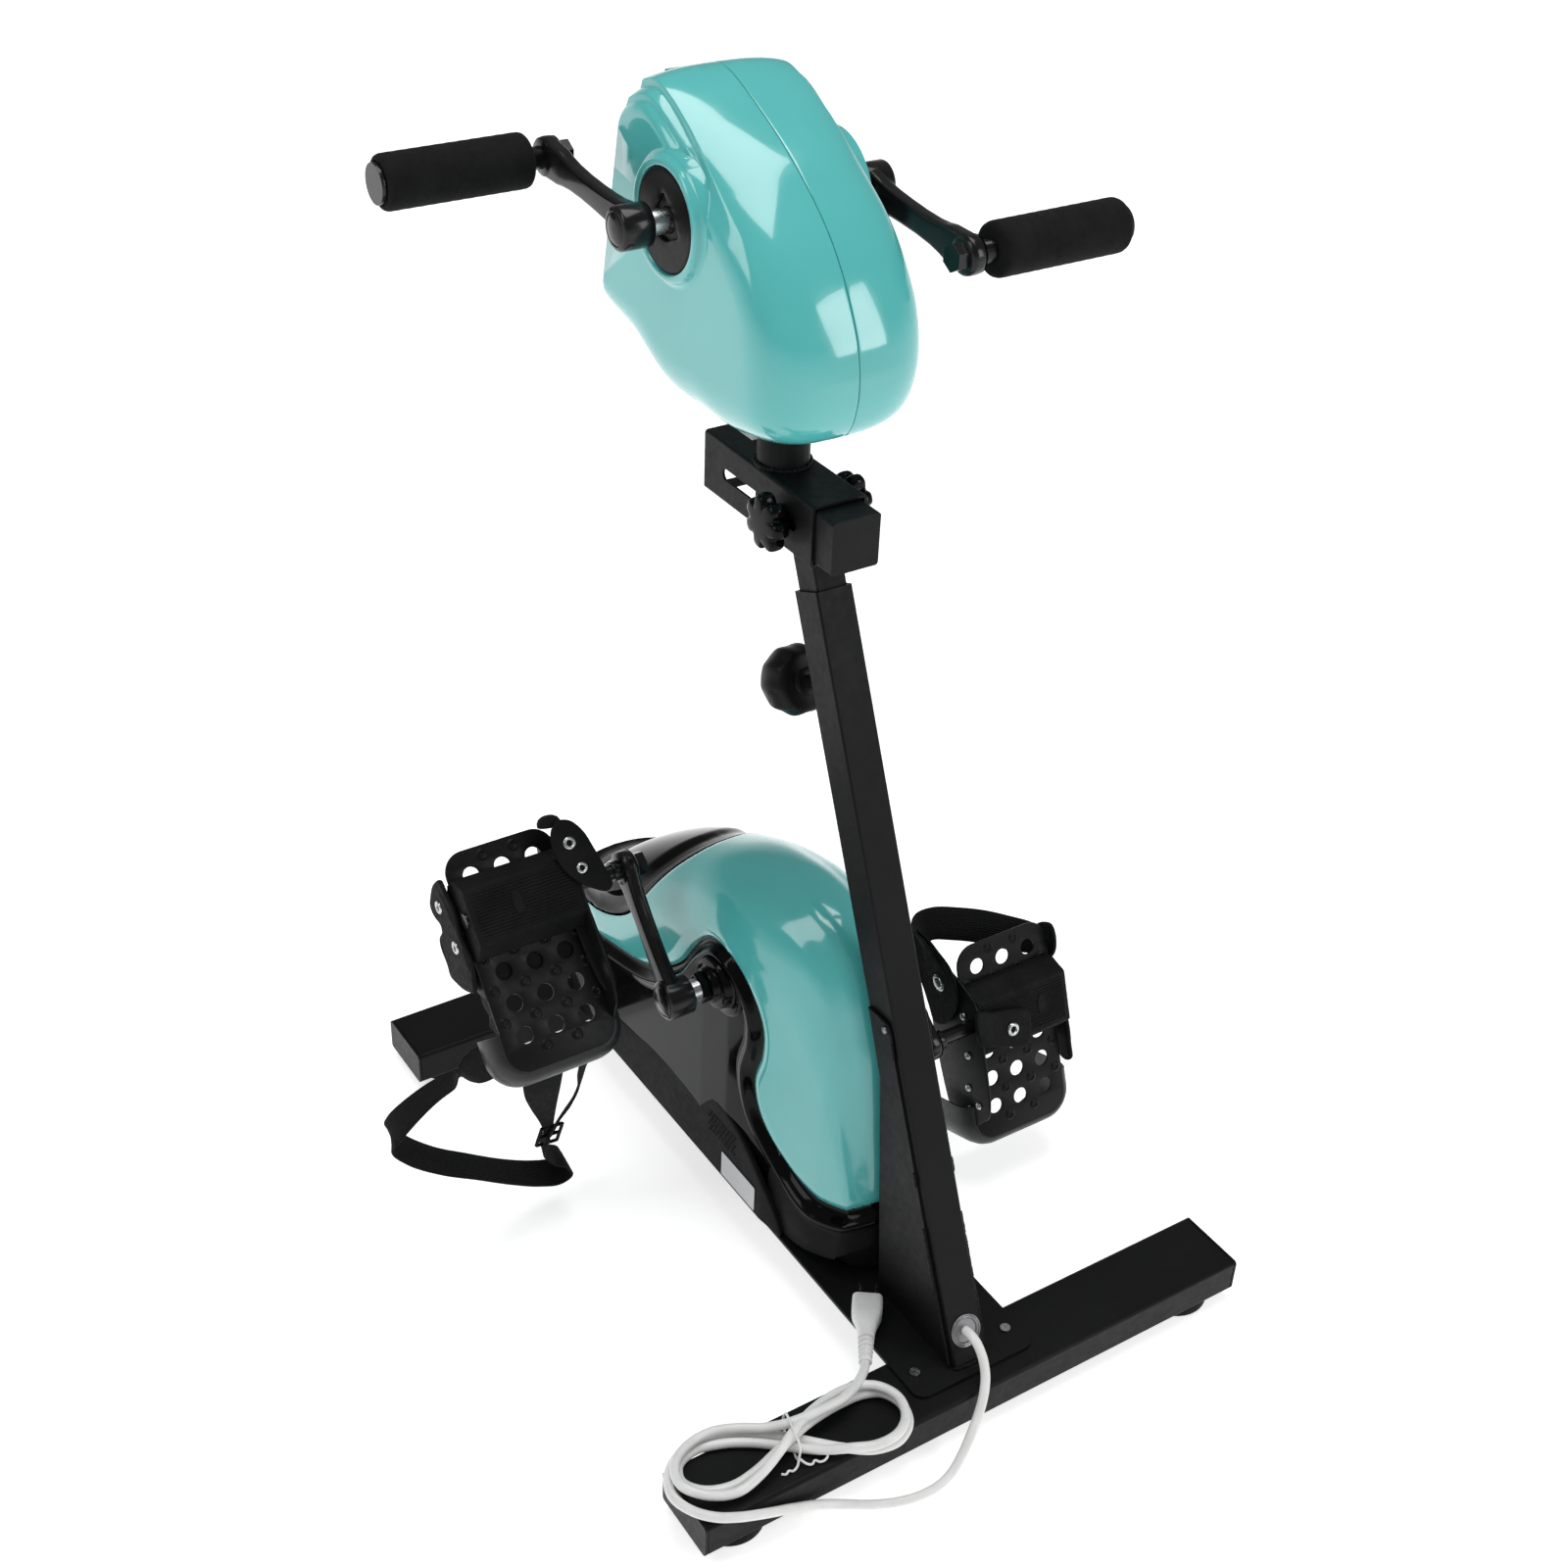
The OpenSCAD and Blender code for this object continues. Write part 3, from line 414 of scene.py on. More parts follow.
def area_light(name, at, aim, size, watts):
    data = bpy.data.lights.new(name, "AREA")
    data.shape = "RECTANGLE"
    data.size, data.size_y = size
    data.energy = watts
    ob = bpy.data.objects.new(name, data)
    ob.location = at
    ob.rotation_euler = (Vector(aim) - Vector(at)).to_track_quat("-Z", "Y").to_euler()
    bpy.context.scene.collection.objects.link(ob)


def studio_world():
    """A soft surround, brighter below the horizon, where it stands in for a pale floor without end."""
    world = bpy.data.worlds.new("studio")
    bpy.context.scene.world = world
    world.use_nodes = True
    t = world.node_tree
    c = t.nodes.new("ShaderNodeTexCoord")
    s = t.nodes.new("ShaderNodeSeparateXYZ")
    half = t.nodes.new("ShaderNodeMath")
    half.operation = "MULTIPLY_ADD"
    half.inputs[1].default_value = 0.5
    half.inputs[2].default_value = 0.5
    r = t.nodes.new("ShaderNodeValToRGB")
    r.color_ramp.elements.new(1.0)
    for k, (position, color) in enumerate(((0.48, (0.95, 0.95, 0.95)), (0.62, (0.17, 0.17, 0.175)),
                                           (1.0, (0.24, 0.24, 0.24)))):
        r.color_ramp.elements[k].position = position
        r.color_ramp.elements[k].color = (*color, 1)
    t.links.new(c.outputs["Generated"], s.inputs["Vector"])
    t.links.new(s.outputs["Z"], half.inputs[0])
    t.links.new(half.outputs["Value"], r.inputs["Fac"])
    t.links.new(r.outputs["Color"], t.nodes["Background"].inputs["Color"])
    t.nodes["Background"].inputs["Strength"].default_value = 1.0


def studio_floor():
    """A plain pale floor, lit a little from within so that it stays near white at any distance."""
    mesh = bpy.data.meshes.new("floor")
    mesh.from_pydata([(-8, -8, 0), (8, -8, 0), (8, 8, 0), (-8, 8, 0)], [], [(0, 1, 2, 3)])
    floor = bpy.data.objects.new("floor", mesh)
    bpy.context.scene.collection.objects.link(floor)
    m = new_material("studio_floor", (0.90, 0.90, 0.90), 0.55, spec=0.25)
    tint_from(m, noise(m, 1.5, 2), (0.895, 0.895, 0.895), (0.905, 0.905, 0.905))
    rough_from(m, noise(m, 30, 2), 0.5, 0.6)
    t = m.node_tree
    shader = t.nodes["Principled BSDF"]
    shader.inputs["Emission Color"].default_value = (1, 1, 1, 1)
    c = t.nodes.new("ShaderNodeTexCoord")
    far = t.nodes.new("ShaderNodeVectorMath")
    far.operation = "LENGTH"
    t.links.new(c.outputs["Object"], far.inputs[0])
    t.links.new(spread(m, far.outputs["Value"], 0.66, 0.93, 0.5, 2.4), shader.inputs["Emission Strength"])
    mesh.materials.append(m)


place_camera()
studio_world()
area_light("softbox_left", (-2.0, 0.2, 2.3), (0, 0, 0.6), (1.0, 1.6), 17)
area_light("softbox_right", (1.5, -2.2, 1.6), (0, 0, 0.5), (0.8, 1.5), 22)
area_light("softbox_top", (0.2, 0.2, 2.9), (0, 0, 0), (1.5, 1.5), 36)
studio_floor()
bpy.context.scene.view_settings.view_transform = "Standard"
bpy.context.scene.view_settings.exposure = 0.0


# ---------------------------------------------------------------- mains cord

CORD_R = 3.7
PLUG_AT = np.array([-73, 31, 51.2])
LEAD = [(0, 12, 65.5), (0, 5, 68.4), (0, -3, 69.8), (0, -10.5, 67.5), (-1, -19.5, 61), (-5, -29, 52.5),
        (-12, -37, 43.5), (-21, -43.5, 33.5), (-31, -49, 23), (-42, -54, 13), (-54, -58.5, 6), (-68, -61.5, 3.9),
        (-86, -61.5, 3.9), (-104, -57, 3.9), (-122, -49, 4.4), (-139, -41, 7.5), (-156, -36, 13), (-174, -34.4, 20),
        (-192, -34.3, 27.5), (-209, -34.3, 35), (-226, -33, 42), (-241, -27, 45.5), (-252, -14, 45.5)]
HANK = [(-257, 4, 44.5), (-250, 22, 44), (-233, 34, 44), (-210, 36.5, 44), (-189, 29, 44), (-172, 17, 44),
        (-157, 5, 44), (-143, -9, 44), (-127, -24, 44), (-109, -36, 44), (-89, -38, 44), (-74, -28, 44),
        (-69, -11, 44), (-75, 4, 44), (-90, 11, 44.3), (-109, 11, 46), (-127, 8, 49), (-143, 4, 51.5),
        (-159, -0.5, 52), (-176, -5, 50), (-196, -9, 46), (-216, -10, 44.3), (-235, -3, 44), (-245, 11, 44),
        (-240, 25, 44), (-224, 31, 44), (-205, 27, 44), (-187, 18, 44), (-172, 7, 44), (-158, -5, 44),
        (-144, -17, 45.5), (-127, -29.5, 50), (-109, -38, 51.6), (-90, -37, 51.6), (-76, -26, 51.6), (-71.5, -9, 51.6),
        (-79, 7, 51.6), (-94, 15, 51.8), (-112, 16, 52.5), (-129, 12, 54.5), (-145, 5.5, 57.5), (-160, -2, 58.8),
        (-176, -9.5, 56), (-196, -16, 50.5), (-217, -18.5, 47.5), (-238, -11, 50), (-250, 5, 51.8), (-245, 22, 51.6),
        (-229, 32, 51.6), (-208, 34, 51.6), (-189, 27, 51.8), (-173, 16, 53.5), (-160, 9, 56.5), (-147, 5.5, 58.6),
        (-134, 4.5, 59)]
TAIL = [(-122, 4.5, 58.6), (-112, 5.5, 57.8), (-103, 8.5, 56.6), (-94, 13, 55.2), (-86, 18.2, 54), (-79, 24, 52.5),
        (-73, 31, 51.2), (-69.5, 35.9, 51.2)]


def make_cord():
    route = spline(LEAD + HANK + TAIL, 560)
    data = bpy.data.curves.new("mains_cord", "CURVE")
    data.dimensions = "3D"
    data.bevel_depth = CORD_R / 1000
    data.bevel_resolution = 5
    data.use_fill_caps = True
    s = data.splines.new("POLY")
    s.points.add(len(route) - 1)
    s.points.foreach_set("co", np.column_stack([(route + SHIFT) / 1000, np.ones(len(route))]).ravel())
    s.use_smooth = True
    data.materials.append(PVC)
    ob = bpy.data.objects.new("mains_cord", data)
    bpy.context.scene.collection.objects.link(ob)
    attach(ob, "base")
    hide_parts("cord_lead", "cord_hank", "cord_tail")
    return ob, round(float(lengths(route)[-1]) / 1000, 3)


def make_plug():
    """A ribbed strain relief, the plug's body as a row of rounded sections, and two flat blades."""
    a = math.radians(36)
    fwd, side = np.array([math.sin(a), math.cos(a), 0]), np.array([math.cos(a), -math.sin(a), 0])
    s = Shape()
    relief = [(0.5, -1.5), (4.6, -1.5), (5.1, -0.8), (5.1, 1.6)]
    for k in range(5):
        y, r = 2.2 + 4.6 * k, 5.2 + 0.28 * k
        relief += [(4.3, y), (4.3, y + 1.3), (r, y + 1.7), (r + 0.25, y + 2.6), (r, y + 3.9)]
    s.turn(relief + [(6.6, 26.5), (7.0, 29), (7.0, 31)], PLUG_AT, fwd, 32)
    stations = [(28.0, 12.5, 11.5, 5.2), (29.5, 14, 12.6, 5.4), (32, 15, 13.4, 5.2), (35, 16.4, 14.2, 5),
                (39, 19.2, 15, 4.6), (43, 22, 15.5, 4.4), (47, 23.6, 15.7, 4.2), (52, 24.1, 15.7, 4),
                (58, 24.0, 15.6, 4), (61.6, 23.7, 15.4, 4), (62.6, 23.3, 15, 3.9), (63.3, 22.2, 13.9, 3.7),
                (63.5, 20.8, 12.5, 3.4)]
    rows = [laid(PLUG_AT + y * fwd, round_rect(wide, tall, min(r, tall / 2 - 0.3), 7), side, Z)
            for y, wide, tall, r in stations]
    s.grid(rows, True, (True, True))
    body = s.make("plug_body", PVC, "base", ("plug",), "cord_white", angle=45)
    s = Shape()
    blade = [(62.5, -3.1), (62.5, 3.1), (76.6, 3.1), (78.4, 2.3), (79, 0.9), (79, -0.9), (78.4, -2.3), (76.6, -3.1)]
    for x in (-6.35, 6.35):
        s.grid([laid(PLUG_AT + (x + d) * side, blade, fwd, Z) for d in (-0.75, 0.75)], True, (True, True))
    return body, s.make("plug_blades", STEEL, "base", (), "bright_steel", angle=30, bevel=0.25)


def make_tie():
    """A wire tie round the middle of the hank, with its two kinked ends."""
    mid = np.array([-159, 0.8, 51.3])
    u = np.array([0.23, 0.973, 0])
    ring = []
    for a in circle(64):
        c, d = math.cos(a), math.sin(a)
        ring.append(mid + u * 17.6 * math.copysign(abs(c) ** 0.8, c) + Z * 12.0 * math.copysign(abs(d) ** 0.85, d)
                    + X * 0.6 * math.sin(3 * a))
    s = Shape()
    rings = tube(ring, 0.95, 8, closed=True)
    s.grid(rings + rings[:1], True)
    left = [(0, 0.6, -5), (-3, -2, -8.6), (-7, -3.0, -9.9), (-10, -1.6, -9.4), (-13, -2.8, -9.9), (-16, -1.0, -9.9)]
    right = [(0.6, 0.4, -5), (4, -3.4, -8.4), (8, -5.0, -9.8), (11, -4.0, -8.6), (14, -6.2, -9.8), (18, -7.0, -9.2),
             (21, -5.6, -7.4), (19.5, -3.8, -5.6)]
    for path in (left, right):
        s.grid(tube(spline(mid - u * 17.8 + np.array(path), 40), 0.95, 8), True, (True, True))
    return s.make("cord_tie", PVC, "base", ("twist_tie",), "cord_white", angle=60)


CORD, CORD_LENGTH = make_cord()
PLUG, BLADES = make_plug()
TIE = make_tie()


# ---------------------------------------------------------------- CAD nodes that keep their shape

def dress(mat, *names, bevel=0.6, angle=40):
    for name in names:
        ob = bpy.data.objects[name]
        ob.data.materials.clear()
        ob.data.materials.append(mat)
        soften(ob, bevel, angle, weld=True)


dress(POWDER, "front_crossbar", "rear_crossbar", "post", "mast", "sleeve", bevel=1.4)
dress(POWDER, "base_plate", bevel=0.9)
dress(MATTE, "end_caps", bevel=1.0)
dress(RUBBER, "feet", bevel=1.2)
dress(STEEL, "plate_screws", bevel=0.4)
dress(DARK_STEEL, "drive_frame", "head_frame", "drive_bearings", "head_bearings", bevel=0.5)
dress(MOTOR, "drive_motor", "head_motor", bevel=1.0)
dress(RUBBER, "drive_belt", "head_belt", bevel=0.3)
dress(STEEL, "drive_motor_pulley", "head_motor_pulley", "leg_pulley", "hand_pulley", bevel=0.4)
dress(STEEL, "hand_axle", "leg_axle", bevel=0.3)
dress(FORGED, "hand_spindles", "leg_spindles", bevel=0.9, angle=25)
dress(BOARD, "control_board", bevel=0.3)
dress(GLASS, "display", bevel=0.8)
dress(PALE, "button_minus", "button_plus", bevel=0.5)
dress(RED, "button_start", bevel=0.5)


# ---------------------------------------------------------------- head

def radii(outline, centre, phi):
    """Distance from the centre to a closed smooth outline, at each angle."""
    p = spline(outline, 1600, closed=True) - centre
    a = np.unwrap(np.arctan2(p[:, 1], p[:, 0]))
    r = np.hypot(p[:, 0], p[:, 1])
    if a[-1] < a[0]:
        a, r = a[::-1], r[::-1]
    a, r = np.concatenate([a - TURN, a, a + TURN]), np.tile(r, 3)
    k = np.argsort(a)
    return np.interp(phi, a[k], r[k])


def keyed(phi_deg, table):
    a, v = zip(*table)
    return np.interp(np.mod(phi_deg, 360), a, v)


HUB = np.array([349.0, 835.0])
HEAD = [(393, 917), (341, 897.5), (294, 871), (256, 840), (232.5, 808), (218.5, 776), (216.5, 742), (228, 716),
        (270, 700), (316, 696.5), (367, 698), (420, 721), (470, 742), (492, 785), (484, 845), (455, 885), (428, 905),
        (411, 913.5)]
FACE = (np.array([412.0, 911.0]), np.array([446.0, 740.0]))
HEAD_HALF = 65.5        # half width of the head's flat sides
RING_R = 47.5           # radius of the raised ring round the hub
CENTRE_GROOVE = [(1.6, 0.25), (0.55, 0.25), (0.12, 0.45)]   # (depth, x) of the fine seam between the halves


def ring_height(r, side):
    """The raised ring and its recess; it is lower on the right, where the photographed outline is smooth."""
    h = np.interp(r, [0, 35.2, 35.6, 36.6, 38.0, 39.2, 40.4, 41.2, 41.8, 42.4, 43.2, 44.6, RING_R],
                  [62, 62, 70.4, 71.2, 71.4, 71.3, 70.8, 70.0, 69.0, 67.8, 66.6, 65.6, 30])
    return np.where(h > HEAD_HALF, HEAD_HALF + 0.25 * (h - HEAD_HALF), h) if side > 0 else h


def head_column(side, phi, R, D, n, steps):
    """One cut through half of the head, from the seam over the shoulder to the hub recess.

    D is the shoulder's depth and n its roundness; each step is (where it starts, how high, over what width).
    """
    th = np.linspace(0, math.pi / 2, 900)
    x = np.append(HEAD_HALF * np.sin(th) ** (2 / n), HEAD_HALF)
    d = np.append(D * (1 - np.cos(th) ** (2 / n)), R)
    d = d + sum(high * smooth((x - start) / width) for start, high, width in steps)
    d = np.maximum.accumulate(d + 1e-5 * np.arange(len(d)))
    d, x = d[x > 0.9], x[x > 0.9]
    groove_d, groove_x = np.array(CENTRE_GROOVE).T
    k = np.searchsorted(d, R - RING_R)
    xs, ds = x[:k], d[:k]
    step = np.hypot(np.diff(xs), np.diff(ds)) * (1 + 2.6 * np.exp(-((xs[1:] - 55.5) / 6.5) ** 2))
    c = np.concatenate([[0], np.cumsum(step)])
    t = np.linspace(0, c[-1], 88)
    r_in = np.array([46.6, 45.6, 44.6, 43.8, 43.2, 42.8, 42.4, 42.1, 41.8, 41.5, 41.2, 40.8, 40.4, 39.8, 39.2, 38.6,
                     38, 37.3, 36.6, 36.1, 35.6, 35.4, 35.2, 32, 26, 20, 12])
    base = np.interp(R - r_in, d, x)
    ring = ring_height(r_in, side)
    k = np.clip(0.5 + (ring - base) / 3.0, 0, 1)
    top = np.where(r_in < 42, ring, base * (1 - k) + ring * k + 1.5 * k * (1 - k))
    rr = np.concatenate([R - groove_d, R - np.interp(t, c, ds), r_in])
    xx = np.concatenate([groove_x, np.interp(t, c, xs), top])
    return np.stack([side * xx, HUB[0] + rr * math.cos(phi), HUB[1] + rr * math.sin(phi)], 1)


def head_half(side):
    """One casing half, cut flat at the user's side with a rim that holds the panel; returns the rim's points."""
    phi = circle(232)
    deg = np.degrees(phi)
    R = radii(HEAD, HUB, phi)
    D = keyed(deg, [(0, 27), (50, 23), (97, 25), (150, 42), (195, 54), (215, 56), (235, 52), (262, 48), (300, 46),
                    (335, 36), (360, 27)])
    n = keyed(deg, [(0, 2.6), (50, 2.75), (97, 2.75), (150, 2.8), (195, 3.0), (215, 3.0), (257, 2.6), (360, 2.6)])
    near = keyed(deg, [(0, 50), (50, 50), (123, 54.5), (187, 56.5), (360, 50)])
    far = keyed(deg, [(0, 59.5), (50, 59.5), (118, 57), (360, 59.5)])
    near_step = keyed(deg, [(0, 0), (30, 5), (60, 5), (95, 4.5), (123, 3.8), (160, 3.4), (182, 2.0), (198, 0),
                            (360, 0)])
    far_step = keyed(deg, [(0, 0), (30, 3.6), (60, 3.6), (90, 3.0), (116, 0.8), (126, 0), (360, 0)])
    near_width = 1.3 + 5.0 * smooth((deg - 118) / 60)
    g = np.stack([head_column(side, phi[i], R[i], D[i], n[i],
                              [(near[i], near_step[i], near_width[i]), (far[i], far_step[i], 1.4)])
                  for i in range(len(phi))], 1)
    name = "head_shell_" + ("right" if side > 0 else "left")
    ob = Shape().grid(g if side > 0 else g[:, ::-1], True, (False, True)).make(
        name, TEAL, "carriage", (name,), "teal_plastic", angle=70)
    bm = bmesh.new()
    bm.from_mesh(ob.data)
    top, foot = ((np.array([0, *p]) + SHIFT) / 1000 for p in FACE)
    along = foot - top
    normal = Vector((0, -along[2], along[1])).normalized()
    if normal.y < 0:
        normal = -normal
    bmesh.ops.bisect_plane(bm, geom=bm.verts[:] + bm.edges[:] + bm.faces[:], plane_co=Vector(top), plane_no=normal,
                           clear_outer=True, dist=1e-6)
    rim = [e for e in bm.edges if e.is_boundary and all(abs((v.co - Vector(top)).dot(normal)) < 1e-5 for v in e.verts)]
    mid = Vector((0, *((top + foot)[1:] / 2)))
    for inwards, back in ((0.0009, 0.0006), (0.0016, 0.0002), (0.0008, -0.0012), (0.0002, -0.004)):
        new = bmesh.ops.extrude_edge_only(bm, edges=rim)["geom"]
        rim = [e for e in new if isinstance(e, bmesh.types.BMEdge)]
        for v in {v for e in rim for v in e.verts}:
            inward = mid - v.co
            inward -= inward.dot(normal) * normal
            v.co += inward.normalized() * inwards + normal * back
            if side * v.co.x < 0.00025:
                v.co.x = side * 0.00025
    edge = [np.array(v.co) * 1000 - SHIFT for v in {v for e in rim for v in e.verts}]
    bmesh.ops.recalc_face_normals(bm, faces=bm.faces)
    bm.to_mesh(ob.data)
    bm.free()
    ob.data.set_sharp_from_angle(angle=math.radians(50))
    return edge


def face_plate(edge):
    """The dark control panel, fitted inside the rim that both shell halves leave at the user's side."""
    up = (FACE[0] - FACE[1]) / np.linalg.norm(FACE[0] - FACE[1])
    v, w = np.array([0, *up]), np.array([0, up[1], -up[0]])
    at = np.array([0, 429.0, 825.0])
    q = np.array([[p[0], (p - at) @ v] for p in edge])
    a = np.arctan2(q[:, 1], q[:, 0])
    k = np.argsort(a)
    ang = circle(160, -math.pi, math.pi)
    r = np.interp(ang, a[k], np.hypot(q[:, 0], q[:, 1])[k], period=TURN)
    rows = [laid(at + h * w, np.stack([(r - d) * np.cos(ang), (r - d) * np.sin(ang)], 1), X, v)
            for d, h in ((0, -4.0), (0.2, -1.6), (0.5, -0.9), (1.1, -0.5), (2.0, -0.35), (14, -0.35))]
    Shape().grid(rows, True, (True, True)).make("control_panel", MATTE, "carriage", ("face_panel",), "black_matte",
                                                angle=40)


face_plate(head_half(-1) + head_half(1))


# ---------------------------------------------------------------- drive unit

UNIT_C = np.array([300.0, 190.0])
UNIT = [(98, 43), (101, 68), (103, 90), (107, 120), (112, 160), (119, 205), (127, 244), (137, 268), (152, 300),
        (174, 325), (206, 340), (240, 343.5), (275, 339), (310, 330), (347, 315), (404, 287), (461, 249), (502, 213),
        (546, 168), (568, 130), (575, 90), (576, 43), (520, 40), (450, 40), (370, 40), (290, 40), (210, 40), (150, 40),
        (115, 40)]
BELLY = [(98, 13), (104, 19), (112, 27), (120, 33), (150, 42), (190, 48.5), (230, 57.5), (262, 62), (300, 63),
         (470, 62), (530, 56), (565, 44), (577, 30)]
EDGE = [(76, 130), (104, 117), (126, 104), (155, 99.5), (190, 111), (219, 140), (228, 172), (221, 205), (222, 232),
        (236, 259), (261, 277), (288, 276), (312, 254), (340, 215), (385, 181), (450, 160), (520, 146), (610, 130)]
CAP = [(336, 350), (352, 316), (372, 283), (390, 250), (412, 220), (450, 194), (520, 172), (610, 150)]
SKIRT = [(60, 92), (107, 73), (125, 58), (166, 47), (205, 43), (260, 42.6), (640, 42.6)]
ARCH = [(179, 46), (187, 59), (196, 70), (205, 80), (222, 94), (246, 109), (284, 117), (344, 106), (414, 90),
        (500, 80), (578, 73)]
BASE_Z = 43.2           # lower edge of the base cover, just above the base plate
CHIN_Y = 206.0          # in front of this the black side is part of the base cover
CHEEK_X = 58.2          # half width of the base cover
PHI = np.radians(np.arange(0, 360, 0.25))
UNIT_R = radii(UNIT, UNIT_C, PHI)


def unit_radius(angle):
    return np.interp(np.mod(angle, TURN), np.append(PHI, TURN), np.append(UNIT_R, UNIT_R[0]))


def hull(y, z):
    """Half width of the drive unit at a point of the side view."""
    y, z = np.asarray(y, float), np.asarray(z, float)
    a = np.arctan2(z - UNIT_C[1], y - UNIT_C[0])
    r = np.hypot(y - UNIT_C[0], z - UNIT_C[1])
    deg = np.mod(np.degrees(a), 360)
    D = keyed(deg, [(0, 34), (20, 46), (50, 62), (90, 72), (120, 76), (145, 66), (165, 44), (185, 30), (205, 22),
                    (222, 14), (240, 3), (300, 2), (320, 3), (335, 20), (360, 34)])
    n = keyed(deg, [(0, 2.3), (60, 2.2), (110, 2.15), (150, 2.2), (190, 2.3), (230, 2.6), (360, 2.3)])
    t = np.clip((unit_radius(a) - r) / D, 0, 1)
    return np.interp(y, *zip(*BELLY)) * (1 - (1 - t) ** n) ** (1 / n)


def hull_normal(y, z, e=0.5):
    gy = np.clip((hull(y + e, z) - hull(y - e, z)) / (2 * e), -12, 12)
    gz = np.clip((hull(y, z + e) - hull(y, z - e)) / (2 * e), -12, 12)
    nrm = np.stack([np.ones_like(gy), -gy, -gz], -1)
    return nrm / np.linalg.norm(nrm, axis=-1, keepdims=True)


def beside(curve, y, z):
    """Signed distance from a curve in the side view, positive on its left."""
    c = spline(curve, 420)
    p = np.stack([np.ravel(y), np.ravel(z)], 1)
    best = np.full(len(p), 1e9)
    sign = np.ones(len(p))
    for a, e in zip(c[:-1], np.diff(c, axis=0)):
        t = np.clip(((p - a) @ e) / (e @ e), 0, 1)
        q = p - a - t[:, None] * e
        d = np.hypot(q[:, 0], q[:, 1])
        k = d < best - 1e-9
        best[k] = d[k]
        sign[k] = np.sign(e[0] * q[k, 1] - e[1] * q[k, 0] + 1e-12)
    return best * sign


def hull_grid(rows=84, cols=300):
    """Points of one half of the unit: [rows, columns] of x, y, z, from the centre line inwards."""
    out = []
    for a in circle(cols):
        r = unit_radius(a)
        f = np.concatenate([[0], np.geomspace(0.02, r * 0.97, 400)])
        x = hull(UNIT_C[0] + (r - f) * math.cos(a), UNIT_C[1] + (r - f) * math.sin(a))
        c = lengths(np.stack([x, f], 1))
        k = np.interp(np.linspace(0, c[-1], rows), c, f)
        y, z = UNIT_C[0] + (r - k) * math.cos(a), UNIT_C[1] + (r - k) * math.sin(a)
        out.append(np.stack([hull(y, z), y, z], 1))
    return np.stack(out, 1)


def clipped(v, faces, value):
    """The part of a mesh where value is above zero, cut straight across the faces that cross."""
    v = [tuple(p) for p in v]
    value = list(value)
    cache, out = {}, []
    for face in faces:
        if all(value[i] < 0 for i in face):
            continue
        if all(value[i] >= 0 for i in face):
            out.append(face)
            continue
        ring = []
        for i, j in zip(face, face[1:] + face[:1]):
            if value[i] >= 0:
                ring.append(i)
            if (value[i] >= 0) != (value[j] >= 0):
                key = (min(i, j), max(i, j))
                if key not in cache:
                    t = value[i] / (value[i] - value[j])
                    cache[key] = len(v)
                    v.append(tuple(a + t * (b - a) for a, b in zip(v[i], v[j])))
                    value.append(0.0)
                ring.append(cache[key])
        if len(ring) > 2:
            out.append(ring)
    used = sorted({i for f in out for i in f})
    place = {i: k for k, i in enumerate(used)}
    return np.array([v[i] for i in used]), [[place[i] for i in f] for f in out]


def mirrored(shape, parts, sides=(1, -1)):
    """Half meshes added on the sides given, their faces turned over on the left."""
    for v, f in parts:
        for side in sides:
            shape.add(v * np.array([side, 1, 1]), f if side > 0 else [q[::-1] for q in f])
    return shape


def pressed(v, depth):
    """Points moved inwards along the unit's own surface normal."""
    return v - hull_normal(v[:, 1], v[:, 2]) * np.broadcast_to(depth, len(v))[:, None]


def flare(y, z):
    """How far the lower front of the black side stands out past the cowl."""
    return 11.5 * smooth((122 - z) / 62) * smooth((232 - y) / 75)


GRID = hull_grid()
GRID_V = GRID.reshape(-1, 3)
ROWS, COLS = GRID.shape[:2]
GRID_F = quads(ROWS, COLS, True) + [[(ROWS - 1) * COLS + j for j in range(COLS)]]
ABOVE_EDGE = beside(EDGE, GRID_V[:, 1], GRID_V[:, 2])
IN_FRONT = -beside(CAP, GRID_V[:, 1], GRID_V[:, 2])
SEAM = 0.35             # half the gap between cowl and cap


def cowl():
    """The teal cowl, its lower edge rolled in and a fine seam at the cap."""
    v, f = clipped(GRID_V, GRID_F, np.minimum(ABOVE_EDGE, IN_FRONT - SEAM))
    from_edge = np.clip(beside(EDGE, v[:, 1], v[:, 2]), 0, None)
    from_cap = np.clip(-beside(CAP, v[:, 1], v[:, 2]), 0, None)
    roll = 8.5 * quarter(from_edge / 13) + 1.1 * (1 - np.clip(from_cap / 1.6, 0, 1)) ** 2
    ridge = np.exp(-((np.abs(v[:, 0]) - 27) / 7.0) ** 2)
    crease = 1.1 * ridge * smooth((v[:, 2] - 110) / 60) * smooth((330 - v[:, 1]) / 60)
    mirrored(Shape(), [(pressed(v, roll + crease), f)]).make("cowl", TEAL, "base", ("cowl",), "teal_plastic", 60)


def top_cap():
    """The gloss cap behind the cowl, a little lower, with one raised rib along its front edge."""
    v, f = clipped(GRID_V, GRID_F, np.minimum(-IN_FRONT - SEAM, ABOVE_EDGE))
    back = beside(CAP, v[:, 1], v[:, 2])
    from_edge = np.clip(beside(EDGE, v[:, 1], v[:, 2]), 0, None)
    depth = 1.0 + 3.2 * smooth((back - 2) / 7) - 3.4 * smooth((back - 15) / 9)
    depth = depth + 2.0 * (1 - np.clip(back / 1.5, 0, 1)) ** 2
    depth = depth + 6 * quarter(from_edge / 9)
    mirrored(Shape(), [(pressed(v, depth), f)]).make("top_cap", GLOSS, "base", ("top_cap",), "black_gloss", 60)


